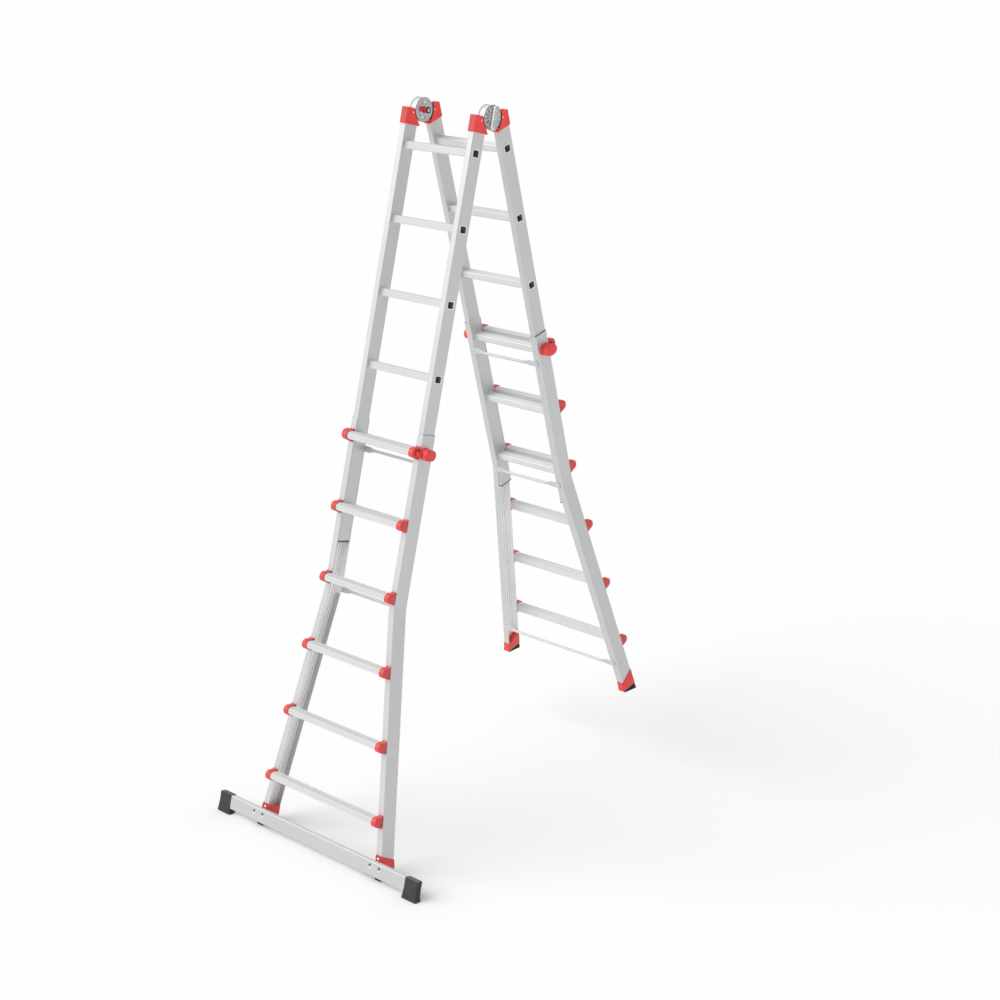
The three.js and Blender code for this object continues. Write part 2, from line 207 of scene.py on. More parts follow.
# ---- stations: (outline, position along the sweep) -----------------------------------------------
def layers(outline, table, base=0.0):
    """Stations from one outline; table: (inset, position from base)."""
    return [(inset(outline, amount), base + t) for amount, t in table]


def hoop(profile, count, base=0.0):
    """Closed ring of stations about the hinge axis; profile: (radius, position from base)."""
    return [(circle(0, 0, radius, count), base + t) for radius, t in (*profile, profile[0])]


def along_x(p, t):
    return (t, p[0], p[1])


def along_w(p, t):
    return (p[0], t, p[1])


def along_v(p, t):
    return (p[0], p[1], t)


class Shape:
    """Points (x, w, v) and faces of one mesh. The left side comes out as a mirror image."""

    def __init__(self, half, side="right"):
        self.half, self.x_sign = half, SIDES[side]
        self.points, self.faces = [], []

    def skin(self, sections, start_cap=True, end_cap=True):
        """Skin over sections with equal numbers of 3D points."""
        count, first = len(sections[0]), len(self.points)
        last = first + (len(sections) - 1) * count
        for section in sections:
            self.points += section
        for row in range(first, last, count):
            for j in range(count):
                k = (j + 1) % count
                self.faces.append([row + j, row + k, row + count + k, row + count + j])
        if start_cap:
            self.faces.append([first + j for j in range(count)])
        if end_cap:
            self.faces.append([last + j for j in range(count)])

    def sweep(self, stations, start_cap=True, end_cap=True, place=along_x):
        self.skin([[place(p, t) for p in outline] for outline, t in stations], start_cap, end_cap)

    def tube(self, stations):
        self.sweep(stations, False, False)

    def fill(self, loops, t, place=along_x):
        """Flat face between an outline and its holes."""
        first = len(self.points)
        self.points += [place(p, t) for loop in loops for p in loop]
        flat = [[Vector((p[0], p[1], 0)) for p in loop] for loop in loops]
        self.faces += [[first + i for i in triangle] for triangle in tessellate_polygon(flat)]

    def solid(self, loops, positions, place=along_x):
        """Straight sweep of an outline, with any holes after it in the list."""
        closed = len(loops) == 1
        for loop in loops:
            self.sweep([(loop, t) for t in positions], closed, closed, place)
        if not closed:
            for t in (positions[0], positions[-1]):
                self.fill(loops, t, place)

    def lathe(self, centre, profile, count, place=along_x, base=0.0, direction=1):
        """Turned solid; profile: (radius, distance from base)."""
        self.sweep([(circle(*centre, max(radius, 0.02), count), base + direction * t)
                    for radius, t in profile], place=place)

    def mesh(self, name):
        mesh = bpy.data.meshes.new(name)
        points = [self.half.point(self.x_sign * x, w, v) for x, w, v in self.points]
        mesh.from_pydata(points, [], self.faces)
        bm = bmesh.new()
        bm.from_mesh(mesh)
        bmesh.ops.remove_doubles(bm, verts=bm.verts, dist=2e-6)
        bmesh.ops.recalc_face_normals(bm, faces=bm.faces)
        bm.to_mesh(mesh)
        bm.free()
        return mesh


# ---- scene objects -------------------------------------------------------------------------------
def link_object(name, data):
    made = bpy.data.objects.new(name, data)
    bpy.context.collection.objects.link(made)
    return made


def apply_modifiers(part):
    bpy.context.view_layer.update()
    depsgraph = bpy.context.evaluated_depsgraph_get()
    mesh = bpy.data.meshes.new_from_object(part.evaluated_get(depsgraph))
    part.modifiers.clear()
    part.data = mesh


def cut_away(part, cuts):
    cutters = [link_object("cutter", cut.mesh("cutter")) for cut in cuts]
    for cutter in cutters:
        modifier = part.modifiers.new("cut", "BOOLEAN")
        modifier.operation = "DIFFERENCE"
        modifier.solver = "EXACT"
        modifier.object = cutter
    apply_modifiers(part)
    for cutter in cutters:
        mesh = cutter.data
        bpy.data.objects.remove(cutter)
        bpy.data.meshes.remove(mesh)


def piece(name, shape, body, finish, cuts=(), replaces=None, angle=32, second=None, where=None):
    """Finished object. Names ending in _v replace the CAD piece of the same name.

    Edges sharper than angle stay sharp. Faces whose centre and normal in the half's own frame
    pass the test where(x, w, v, normal) take the second finish.
    """
    part = link_object(name, shape.mesh(name))
    if cuts:
        cut_away(part, cuts)
    part.data.polygons.foreach_set("use_smooth", [True] * len(part.data.polygons))
    part.data.set_sharp_from_angle(angle=radians(angle))
    modifier = part.modifiers.new("weighted normals", "WEIGHTED_NORMAL")
    modifier.keep_sharp = True
    modifier.weight = 80
    modifier.mode = "FACE_AREA"
    apply_modifiers(part)
    part.data.materials.clear()
    part.data.materials.append(finish.material)
    part.data.name = name
    if second:
        part.data.materials.append(second.material)
        to_local = shape.half.to_local
        turn = to_local.to_3x3()
        for face in part.data.polygons:
            if where(*(to_local @ face.center * 1000), turn @ face.normal):
                face.material_index = 1
    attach(part, body)
    if name.endswith("_v"):
        replaces = name[:-2]
    if replaces:
        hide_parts(replaces)


# ---- materials -----------------------------------------------------------------------------------
Finish = namedtuple("Finish", "material slot")
# Direction toward the key sun, used to paint light and shade by face direction
KEY_LIGHT_SIDE = (-0.432, -0.638, 0.638)      # up, left and to the front


class Shader:
    """Node tree of one material."""

    def __init__(self, name):
        self.material = bpy.data.materials.new(name)
        self.material.use_nodes = True
        self.tree = self.material.node_tree
        self.tree.nodes.clear()

    def add(self, kind, inputs={}, **settings):
        """Add a node, link or set its inputs, and return its outputs."""
        node = self.tree.nodes.new("ShaderNode" + kind)
        for key, value in settings.items():
            setattr(node, key, value)
        for key, value in inputs.items():
            if isinstance(value, bpy.types.NodeSocket):
                self.tree.links.new(value, node.inputs[key])
            else:
                node.inputs[key].default_value = value
        return node.outputs

    @cached_property
    def position(self):
        return self.add("TexCoord")["Object"]

    def mapped(self, rotation, scale):
        """Coordinates turned first, then scaled."""
        turned = self.add("Mapping", {"Vector": self.position, "Rotation": rotation})[0]
        return self.add("Mapping", {"Vector": turned, "Scale": scale})[0]

    def noise(self, vector, scale, detail, roughness):
        return self.add("TexNoise", {"Vector": vector, "Scale": scale, "Detail": detail,
                                     "Roughness": roughness})["Fac"]

    def remap(self, value, to, span=(0.3, 0.7)):
        """Carry the span, by default where noise mostly lies, over to a new range."""
        return self.add("MapRange", {"Value": value, "From Min": span[0], "From Max": span[1],
                                     "To Min": to[0], "To Max": to[1]})[0]

    def math(self, operation, a, b):
        return self.add("Math", {0: a, 1: b}, operation=operation)[0]

    def tint(self, color, factor):
        """Colour multiplied by a factor near 1."""
        grey = self.add("CombineColor", {i: factor for i in range(3)})[0]
        return self.add("Mix", {0: 1.0, 6: (*color, 1), 7: grey},
                        data_type="RGBA", blend_type="MULTIPLY")[2]

    def bump(self, height, strength, distance, under=None):
        inputs = {"Strength": strength, "Distance": distance, "Height": height}
        if under:
            inputs["Normal"] = under
        return self.add("Bump", inputs)[0]

    def finish(self, slot, **inputs):
        """Close the tree with a Principled surface; underscores in input names are spaces."""
        surface = self.add("BsdfPrincipled", {k.replace("_", " "): v for k, v in inputs.items()})
        self.add("OutputMaterial", {"Surface": surface[0]})
        return Finish(self.material, slot)


def around(value, below, above):
    return (value - below, value + above)


def aluminium(name, slot, color, metallic, roughness, half=FRONT, along="x", key_light_shade=None):
    """Extruded aluminium with die lines along one axis of the half's frame.

    The last argument paints light and shade: colour factors for faces turned from and toward the
    key sun.
    """
    shader = Shader(name)
    turn = (half.y_sign * half.tilt, 0, 0)

    def lines(stretch, **noise):
        scale = tuple(stretch if axis == along else 1.0 for axis in "xyz")
        return shader.noise(shader.mapped(turn, scale), **noise)

    die = lines(0.006, scale=420, detail=4, roughness=0.6)
    fine = lines(0.02, scale=1700, detail=2, roughness=0.5)
    cloud = shader.noise(shader.position, scale=5.5, detail=3, roughness=0.5)
    grain = shader.noise(shader.position, scale=2600, detail=1, roughness=0.5)
    shade = shader.math("MULTIPLY", shader.remap(die, to=(0.95, 1.045)),
                        shader.remap(cloud, to=(0.975, 1.02)))
    gloss = shader.math("ADD", shader.remap(fine, to=around(roughness, 0.05, 0.07)),
                        shader.remap(cloud, to=(-0.03, 0.04)))
    relief = shader.bump(die, strength=0.10, distance=0.00025)
    relief = shader.bump(fine, strength=0.10, distance=0.0001, under=relief)
    relief = shader.bump(grain, strength=0.05, distance=0.0001, under=relief)
    if key_light_shade:
        # Painted light and shade: colour follows how far each face turns toward the key sun
        normal = shader.add("NewGeometry")["Normal"]
        dot = shader.add("VectorMath", {0: normal, 1: KEY_LIGHT_SIDE}, operation="DOT_PRODUCT")
        shade = shader.math("MULTIPLY", shade,
                            shader.remap(dot["Value"], to=key_light_shade, span=(0.45, 0.85)))
    return shader.finish(slot, Base_Color=shader.tint(color, shade), Metallic=metallic,
                         Roughness=gloss, Normal=relief)


def plastic(name, color, roughness=0.40, grain_depth=0.12, slot="red_plastic"):
    """Moulded plastic: fine grain, slight flow shading and a few scuffs."""
    shader = Shader(name)
    grain = shader.noise(shader.position, scale=1500, detail=3, roughness=0.6)
    flow = shader.noise(shader.position, scale=22, detail=3, roughness=0.5)
    scuffs = shader.noise(shader.mapped(rotation=(0.4, 0.2, 0.7), scale=(1, 0.05, 1)),
                          scale=700, detail=2, roughness=0.6)
    shade = shader.math("MULTIPLY", shader.remap(flow, to=(0.94, 1.05)),
                        shader.remap(grain, to=(0.97, 1.03)))
    gloss = shader.math("ADD", shader.remap(grain, to=around(roughness, 0.05, 0.06)),
                        shader.remap(scuffs, to=(0.0, 0.09), span=(0.58, 0.8)))
    relief = shader.bump(grain, strength=grain_depth, distance=0.00025)
    relief = shader.bump(scuffs, strength=0.04, distance=0.0001, under=relief)
    return shader.finish(slot, Base_Color=shader.tint(color, shade), Roughness=gloss,
                         Normal=relief, Specular_IOR_Level=0.45)


def zinc(name, color, roughness=0.34, metallic=0.85):
    """Zinc plated steel: soft cloudy spangle and fine rolling marks."""
    shader = Shader(name)
    cells = shader.add("TexVoronoi", {"Vector": shader.position, "Scale": 260})["Color"]
    spangle = shader.add("SeparateColor", {0: cells})[0]
    cloud = shader.noise(shader.position, scale=60, detail=4, roughness=0.6)
    rolling = shader.noise(shader.mapped(rotation=(0, 0.5, 0), scale=(1, 1, 0.03)),
                           scale=900, detail=2, roughness=0.5)
    shade = shader.math("MULTIPLY", shader.remap(spangle, to=(0.94, 1.04), span=(0.0, 1.0)),
                        shader.remap(cloud, to=(0.9, 1.08)))
    relief = shader.bump(rolling, strength=0.08, distance=0.0001)
    relief = shader.bump(cloud, strength=0.10, distance=0.0003, under=relief)
    return shader.finish("zinc_steel", Base_Color=shader.tint(color, shade), Metallic=metallic,
                         Roughness=shader.remap(cloud, to=around(roughness, 0.06, 0.12)),
                         Normal=relief)


def rubber(name, color=(0.038, 0.039, 0.041), roughness=0.72):
    """Mottled rubber, paler where it looks up."""
    shader = Shader(name)
    grain = shader.noise(shader.position, scale=900, detail=4, roughness=0.65)
    dust = shader.noise(shader.position, scale=35, detail=4, roughness=0.6)
    shade = shader.math("MULTIPLY", shader.remap(dust, to=(0.86, 1.16)),
                        shader.remap(grain, to=(0.92, 1.08)))
    relief = shader.bump(grain, strength=0.25, distance=0.0004)
    relief = shader.bump(dust, strength=0.1, distance=0.0006, under=relief)
    normal = shader.add("NewGeometry")["Normal"]
    upward = shader.remap(shader.add("SeparateXYZ", {0: normal})[2],
                          to=(0.0, 1.0), span=(0.55, 0.95))
    pale = tuple(k * 3.4 for k in color)
    blend = shader.add("Mix", {0: upward, 6: shader.tint(color, shade),
                               7: shader.tint(pale, shade)}, data_type="RGBA")[2]
    return shader.finish("rubber", Base_Color=blend,
                         Roughness=shader.remap(grain, to=around(roughness, 0.08, 0.1)),
                         Normal=relief, Specular_IOR_Level=0.35)


STILE = {half: aluminium("stile_aluminium_" + half.tag, "stile_aluminium", (0.60, 0.603, 0.607),
                         metallic=0.55, roughness=0.42, half=half, along="z") for half in HALVES}
# Lighter copy of the stile aluminium for the inside of the channel: painted light where the channel
# lies in shade
CHANNEL_PAINTED_LIGHT = {half: aluminium("channel_painted_light_aluminium_" + half.tag, "stile_aluminium",
                           (0.97, 0.97, 0.972), metallic=0.1, roughness=0.5, half=half,
                           along="z") for half in HALVES}
# Near-white copy of the rung aluminium for the rung lips: painted highlight
LIP_HIGHLIGHT = aluminium("lip_painted_highlight_aluminium", "rung_aluminium", (0.93, 0.93, 0.93),
                metallic=0.15, roughness=0.5)
# Dark copy of the aluminium for the inside of the hollow rungs: painted shade in the bore
BORE = aluminium("bore_painted_shade_aluminium", "rung_aluminium", (0.24, 0.241, 0.244),
                 metallic=0.2, roughness=0.6)
RUNG = {
    # Front rungs: painted shade on faces turned toward the key sun, flattening the sun's highlight
    # on the rounded nose
    FRONT: aluminium("rung_aluminium", "rung_aluminium", (0.69, 0.693, 0.697),
                     metallic=0.22, roughness=0.55, key_light_shade=(1.10, 0.79)),
    REAR: aluminium("rear_rung_aluminium", "rung_aluminium", (0.71, 0.713, 0.717),
                    metallic=0.25, roughness=0.48, half=REAR),
}
BAR = aluminium("bar_aluminium", "bar_aluminium", (0.52, 0.518, 0.518),
                metallic=0.22, roughness=0.5)
# Lighter copy of the bar aluminium for its top face: painted light from above
BAR_TOP_PAINTED_LIGHT = aluminium("bar_edge_aluminium", "bar_aluminium", (0.68, 0.68, 0.68),
                    metallic=0.15, roughness=0.5)
CUP = aluminium("cup_aluminium", "bar_aluminium", (0.62, 0.62, 0.62),
                metallic=0.15, roughness=0.5)
ROD = aluminium("rod_aluminium", "rod_aluminium", (0.60, 0.603, 0.607),
                metallic=0.3, roughness=0.45)
LEDGE = aluminium("ledge_aluminium", "stile_aluminium", (0.90, 0.90, 0.90),
                  metallic=0.0, roughness=0.5)
RED = plastic("red_plastic", (0.78, 0.054, 0.049))
HINGE_RED = plastic("red_plastic_hinge", (0.92, 0.047, 0.043))
# Darker copy of the red for the front foot shells' faces turned away from the rear half: painted
# shade
SHELL_FACE_SHADE_RED = plastic("red_plastic_painted_shell_shade", (0.46, 0.045, 0.042))
# Darker copy of the hinge-cap red for cap faces turned away from the other half: painted shade
CAP_FACE_SHADE_RED = plastic("red_plastic_painted_cap_shade", (0.58, 0.060, 0.054))
CAP_RED = plastic("red_plastic_cap", (0.70, 0.062, 0.055), roughness=0.36, grain_depth=0.08)
BLACK = plastic("black_plastic", (0.018, 0.018, 0.019), roughness=0.5, slot="rubber")
PIN_ZINC = zinc("zinc_steel", (0.82, 0.83, 0.83))
LEVER = zinc("zinc_lever", (0.50, 0.505, 0.51), roughness=0.42, metallic=0.5)
DRUM = zinc("zinc_drum", (0.80, 0.81, 0.815), roughness=0.5, metallic=0.35)
DARK_EDGE = zinc("zinc_edge", (0.10, 0.103, 0.107), roughness=0.5, metallic=0.5)
RING = zinc("zinc_ring", (0.24, 0.244, 0.25), roughness=0.5, metallic=0.5)
# Pale pressed zinc of the disc webs and slot floors; on the lock levers it paints a highlight on
# the bevelled edges
PRESSED_AND_EDGE_HIGHLIGHT = zinc("zinc_pressed_and_edge_highlight", (0.90, 0.905, 0.91), roughness=0.4, metallic=0.2)
DARK_ZINC = zinc("zinc_steel_dark", (0.48, 0.495, 0.505), roughness=0.42)
RIVET = zinc("rivet_steel", (0.86, 0.87, 0.88), roughness=0.34, metallic=0.5)
# Darker zinc laid on the rear disc's recess floor: painted shade in the recess
RECESS_SHADE = zinc("zinc_recess", (0.60, 0.61, 0.62), roughness=0.5, metallic=0.2)
RUBBER = rubber("rubber")
SOLE = rubber("sole_rubber", (0.022, 0.022, 0.023), roughness=0.78)


# ---- inner stiles and rungs ----------------------------------------------------------------------
def box_outline(width, depth, radius, steps):
    return round_rect(INNER_X, MID_W, width, depth, radius, steps)


def rung_outline(v, width, height, radius, steps=5):
    return round_rect(MID_W, v, width, height, radius, steps)


def inner_stile(half, side):
    """Box section with a window for each rung."""
    box = Shape(half, side)
    box.solid([box_outline(25.3, 64, 2.6, 4), box_outline(21.3, 60, 1.2, 2)],
              [INNER_TOP_V, INNER_END_V], along_v)
    windows = []
    for k in range(RUNG_COUNT):
        window = Shape(half, side)
        window.solid([rung_outline(TOP_RUNG_V + k * PITCH, 34.6, 30.6, 6.2, 4)], [150, 195])
        windows.append(window)
    piece(f"{half.tag}_inner_stile_{side}_v", box, half.inner, STILE[half], windows, angle=28)


def inner_plug(half, side):
    """End plug closing the bottom of the box section: a core, a chamfered lid and a joint."""
    plug = Shape(half, side)
    core, lid = box_outline(20.9, 59.6, 1.2, 2), box_outline(25.0, 63.6, 2.6, 4)
    plug.solid([core], [INNER_END_V - 20, INNER_END_V - 0.5], along_v)
    plug.sweep(layers(lid, ((0, 0.05), (0, 4.9), (0.7, 5.6)), INNER_END_V), place=along_v)
    plug.solid([core], [INNER_END_V - 0.6, INNER_END_V + 0.2], along_v)
    piece(f"{half.tag}_inner_plug_{side}", plug, half.inner, BLACK)


def inner_rung(half, number, v):
    """Hollow rung, grooved on top, with a swaged collar against the inside of each stile."""
    half_width, half_height, radius = 17, 15, 6
    dw, dv = half_width - radius, half_height - radius
    outline = grooves(MID_W - 9.5, MID_W + 9.5, 5, 1.7, 0.55, v - half_height)
    for w_sign, v_sign, start in ((1, -1, -90), (1, 1, 0), (-1, 1, 90), (-1, -1, 180)):
        outline += arc(MID_W + w_sign * dw, v + v_sign * dv, radius, start, start + 90, 5)
    rung = Shape(half)
    rung.solid([outline, rung_outline(v, 30, 26, 4.4)], [-185.2, 185.2])
    collar, hole = rung_outline(v, 37.8, 33.8, 7.9), rung_outline(v, 33.0, 29.0, 5.5)
    for s in (-1, 1):
        stations = [(outline, s * t) for outline, t in layers(
            collar, ((1.1, 156.6), (0, 157.7), (0, 159.9), (0.3, 159.95)))]
        ends = (stations[0], stations[-1])
        rung.tube(stations)
        rung.tube([(hole, t) for _, t in ends])
        for outline, t in ends:
            rung.fill([outline, hole], t)
    # Faces inside the hollow rung take the dark copy: painted shade
    piece(f"{half.tag}_inner_rung_{number}_v", rung, half.inner, RUNG[half], second=BORE,
          where=lambda x, w, face_v, normal: abs(w - MID_W) < 15.2 and abs(face_v - v) < 13.2)


def inner_rung_lip(half, number, v):
    """Flared lips at the ends of a rung, outside the stiles, in a lighter copy of the rung
    aluminium: a painted highlight.
    """
    lip = Shape(half)
    rim, mouth = rung_outline(v, 35.6, 31.6, 7.0), rung_outline(v, 29.8, 25.8, 5.2)
    stations = (layers(rim, ((0, 184.4), (0, 185.5), (0.6, 185.95)))
                + layers(mouth, ((-0.6, 185.95), (0, 185.4), (0, 184.4))) + [(rim, 184.4)])
    for s in (-1, 1):
        lip.tube([(outline, s * t) for outline, t in stations])
    piece(f"{half.tag}_inner_rung_{number}_lip", lip, half.inner, LIP_HIGHLIGHT, angle=40)


# ---- outer stiles --------------------------------------------------------------------------------
STILE_WALL = 2
# Ribs inside the web: (w, width, depth)
RIBS = ((OUTER_W0 + 10, 3.6, 1.3), (MID_W - 12, 3.6, 1.3), (MID_W + 5, 3.2, 1.3),
        (OUTER_W1 - 17, 3.6, 1.3), (OUTER_W1 - 7.5, 2.6, 1.2))


def channel_outline():
    """Channel section in (x, w), open toward the middle of the ladder."""
    web_x = OUTER_X1 - STILE_WALL
    outline = rounded([
        (OUTER_X0, OUTER_W1, 0.8), (OUTER_X1, OUTER_W1, 2.6), (OUTER_X1, OUTER_W0, 2.6),
        (OUTER_X0, OUTER_W0, 0.8), (OUTER_X0, OUTER_W0 + STILE_WALL, 0.8),
        (web_x, OUTER_W0 + STILE_WALL, 0.9)], steps=3)
    for w, width, depth in RIBS:
        outline += [(web_x, w - width / 2), (web_x + depth, w - width / 4),
                    (web_x + depth, w + width / 4), (web_x, w + width / 2)]
    return outline + [
        (web_x, OUTER_W1 - 2.9), (web_x - 0.2, OUTER_W1 - 2.3), (web_x - 0.9, OUTER_W1 - 2),
        (OUTER_X0 + 0.8, OUTER_W1 - 2), (OUTER_X0 + 0.2, OUTER_W1 - 1.8),
        (OUTER_X0, OUTER_W1 - 1.3)]


def outer_stile(half, side):
    start = half.bend_v - BEND_REACH

    def place(p, v):
        """Widen the section through the bend, so it keeps its width square to the leg."""
        stretch = 1 + (FLARE_STRETCH - 1) * max(0, min(1, (v - start) / (2 * BEND_REACH)))
        return (OUTER_X1 - (OUTER_X1 - p[0]) * stretch + half.flare(v), p[1], v)

    def in_channel(x, w, v, normal):
        """Inner face of the web between the ribs, and the inner faces of the flanges; they take a
        lighter copy of the stile aluminium, painted light inside the shaded channel.
        """
        across = abs(w - MID_W)
        inward = normal.x * SIDES[side] < -0.35 or abs(across - 32.8) < 0.1
        on_rib = any(abs(w - rib_w) < width / 2 for rib_w, width, _ in RIBS)
        return inward and across < 33.5 and not on_rib

    stile, pin_hole = Shape(half, side), Shape(half, side)
    bend = [start + 8 * i for i in range(7)]
    stile.solid([channel_outline()], [half.outer_top_v, *bend, half.sole_v - 23], place)
    pin_hole.solid([circle(MID_W, half.first_v, 9, 32)], [180, 195])
    piece(f"{half.tag}_outer_stile_{side}_v", stile, half.outer, STILE[half], [pin_hole],
          angle=28, second=CHANNEL_PAINTED_LIGHT[half], where=in_channel)


def outer_seal(half, side):
    """Black strip between the stiles at the top of the outer one: painted shadow standing in for
    the dark gap there.
    """
    x0, x1, w0, w1 = 185.35, 187.7, OUTER_W0 + 2, OUTER_W1 - 2
    above = 2.6 if half is REAR else 1.0
    gap_shade = Shape(half, side)
    gap_shade.solid([[(x0, w0), (x1, w0), (x1, w1), (x0, w1)]],
               [half.outer_top_v - above, half.outer_top_v + 3], along_v)
    piece(f"{half.tag}_outer_seal_{side}", gap_shade, half.outer, BLACK, angle=40)


# ---- outer rungs and their end caps --------------------------------------------------------------
# Outlines in (w from the back of the rung, v from its middle, corner radius)
RUNG_OUTLINE = ([(0.3, -17)] + grooves(4.0, 22.0, 5, 1.6, 0.55, -17)
                + rounded([(22.8, -17, 0), (30.5, -14, 9), (35.5, -8, 9), (37, 0, 14),
                           (35, 7.5, 9), (29, 13, 6), (16, 16, 0)], steps=3)
                + [(15.2, 15.5), (14.0, 15.75), (13.6, 16.6), (0.3, 17.5)])
RUNG_BORE = rounded([(3, -14.2), (22, -14.2, 3), (28.4, -11.6, 4), (32.6, -7, 4), (34, 0, 6),
                     (32, 5.6, 4), (27, 10.4, 4), (15, 13.0, 2), (3, 14.2)], steps=2)
CAP_OUTLINE = rounded([
    (0, -25.6, 1.2), (5, -25.6, 1.6), (8.3, -21.2, 2), (24.5, -20.7, 8), (33.4, -17.6, 8),
    (40, -10, 8), (41.8, 0, 14), (39.6, 9.9, 8), (32.2, 16.8, 8), (17.6, 20.6, 10),
    (0, 25.4, 1.2)])
CAP_HOLE = rounded([
    (0.6, -17.3), (23, -17.3, 3), (30.8, -14.2, 5), (35.8, -8, 5), (37.3, 0, 8), (35.3, 7.7, 5),
    (29, 13.3, 5), (16, 16.3, 2), (0.6, 17.8)], steps=3)
UPPER_POCKET = [(1.2, -24.2), (4.2, -24.2), (6.0, -20.2), (1.2, -19.2)]
LOWER_POCKET = [(1.2, 19.4), (12, 18.4), (9, 20.6), (1.2, 23.4)]
CAP_PAD = rounded([
    (12.5, -16.8, 2), (24, -16.4, 6), (30.5, -13.8, 6), (35.2, -7.6, 6), (36.6, 0, 10),
    (34.8, 7.4, 6), (28.6, 12.8, 6), (16.5, 16.0, 4), (11.0, 6, 6), (10.2, -6, 6)], steps=3)


def at_rung(outline, v):
    return [(OUTER_RUNG_W + p[0], v + p[1]) for p in outline]


def outer_rung(half, number, v, reach):
    rung = Shape(half)
    end = reach - 3.4
    rung.solid([at_rung(RUNG_OUTLINE, v), at_rung(RUNG_BORE, v)], [-end, end])
    piece(f"{half.tag}_outer_rung_{number}_v", rung, half.outer, RUNG[half])


def rung_cap(half, side, number, v, reach):
    """Cap over the end of an outer rung, with a raised pad on its end plate."""
    cap = Shape(half, side)
    outline = at_rung(CAP_OUTLINE, v)
    outer, inner = reach + 4, reach - 18.5
    cap.sweep(layers(outline, ((0.7, inner), (0, inner + 0.7)))
              + layers(outline, ((0, -2.2), (0.35, -1.2), (1.1, -0.35), (2.2, 0)), outer),
              start_cap=False)
    hole, *pockets = (at_rung(q, v) for q in (CAP_HOLE, UPPER_POCKET, LOWER_POCKET))
    cap.fill([inset(outline, 0.7), hole, *pockets], inner)
    for opening, floor in ((hole, reach - 3.0), *((pocket, reach - 6) for pocket in pockets)):
        cap.sweep([(opening, inner), (opening, floor)], start_cap=False)
    cap.sweep(layers(at_rung(CAP_PAD, v), ((-0.5, -0.5), (0, 0.35), (0.5, 0.75), (2.2, 0.95),
                                           (6.0, 1.0)), outer))
    piece(f"{half.tag}_rung_cap_{number}_{side}", cap, half.outer, CAP_RED, angle=40)


def outer_rungs(half):
    for k in range(RUNG_COUNT):
        v = half.first_v + k * PITCH
        reach = 183 + max(0, v - half.bend_v) * FLARE * 0.97
        outer_rung(half, k + 1, v, reach)
        for side in SIDES:
            rung_cap(half, side, k + 1, v, reach)


# ---- tie rods ------------------------------------------------------------------------------------
ROD_W, TAB_W = OUTER_W0 - 0.3 - 5.6, OUTER_W0 - 1.9      # middle of the rod, of its flat ends
# Left end to full round: (reach beyond the fixing, w, half size in w, half size in v, power)
ROD_SECTIONS = (
    (8, TAB_W, 1.1, 5.0, 0.6), (6.6, TAB_W, 1.5, 8.2, 0.5), (2, TAB_W, 1.6, 11.4, 0.42),
    (-8, TAB_W, 1.6, 12, 0.38), (-38, TAB_W, 1.6, 12, 0.38), (-46, TAB_W - 0.4, 2.0, 9.6, 0.5),
    (-56, TAB_W - 1.9, 3.6, 6.6, 0.8), (-68, ROD_W, 5.8, 5.8, 1.0), (-80, ROD_W, 5.8, 5.8, 1.0))
ROD_RIVET = ((0, -3.4), (2.4, -3.3), (4.0, -2.6), (4.6, -1.7), (4.6, -1.0), (0, -0.8))


def tie_rods(half):
    """Round rods with flattened, riveted ends, on the stile edges next to the other half."""
    for number, (rung, drop) in enumerate(half.tie_rods, 1):
        v = half.first_v + rung * PITCH + drop
        fixing_x = 172 + max(0, v - half.bend_v) * FLARE
        stations = [(superellipse(w, v, half_w, half_v, power, power, 24), -(fixing_x + beyond))
                    for beyond, w, half_w, half_v, power in ROD_SECTIONS]
        rod = Shape(half)
        rod.sweep(stations + [(outline, -x) for outline, x in reversed(stations)])
        for s in (-1, 1):
            for inward in (6, 30):
                rod.lathe((s * (fixing_x - inward), v), ROD_RIVET, 20, along_w, TAB_W)
        piece(f"{half.tag}_tie_rod_{number}_v", rod, half.outer, ROD, angle=40)


# ---- leg feet ------------------------------------------------------------------------------------
# Height of the shell's top edge above the seam: (w, height)
FOOT_RISE = {
    FRONT: [(OUTER_W0 - 9, 42), (OUTER_W0 - 2, 45), (OUTER_W0 + 3, 51), (MID_W - 24, 58.5),
            (MID_W - 15, 64), (MID_W, 70), (MID_W + 12, 72), (MID_W + 22, 71),
            (OUTER_W1 - 9, 67), (OUTER_W1 - 4, 69.5), (OUTER_W1 + 9, 71)],
    REAR: [(OUTER_W0 - 4, 38), (OUTER_W0 + 6, 38), (OUTER_W1 - 9, 63), (OUTER_W1 - 3, 67),
           (OUTER_W1 + 9, 67)],
}
# Height of the shell's bottom edge above the seam: (w, height)
FOOT_LIFT = {
    FRONT: [(OUTER_W0 - 8, 24), (OUTER_W0 + 6, 22), (MID_W - 16, 14), (MID_W + 4, 6),
            (MID_W + 16, 2), (OUTER_W1, 0)],
    REAR: [(OUTER_W0, 0)],
}
# (growth, bulge, tip, share of the way from top edge to bottom edge, extra v)
SHELL_SECTIONS = (
    (-2.0, 0, 0, 0, 5), (0.5, 0, 0, 0, 4), (0.6, 0, 0, 0, 0.6), (1.1, 0, 0, 0, 0),
    (2.0, 0.2, 0, 0.01, 0), (2.6, 0.6, 0, 0.05, 0), (2.7, 1.6, 0, 0.2, 0),
    (2.7, 2.3, 0, 0.45, 0), (2.7, 2.2, 0.8, 0.7, 0), (2.7, 1.2, 4.0, 0.93, 0),
    (2.4, 0.8, 5.0, 0.985, 0), (1.6, 0.4, 4.8, 1.0, 0))
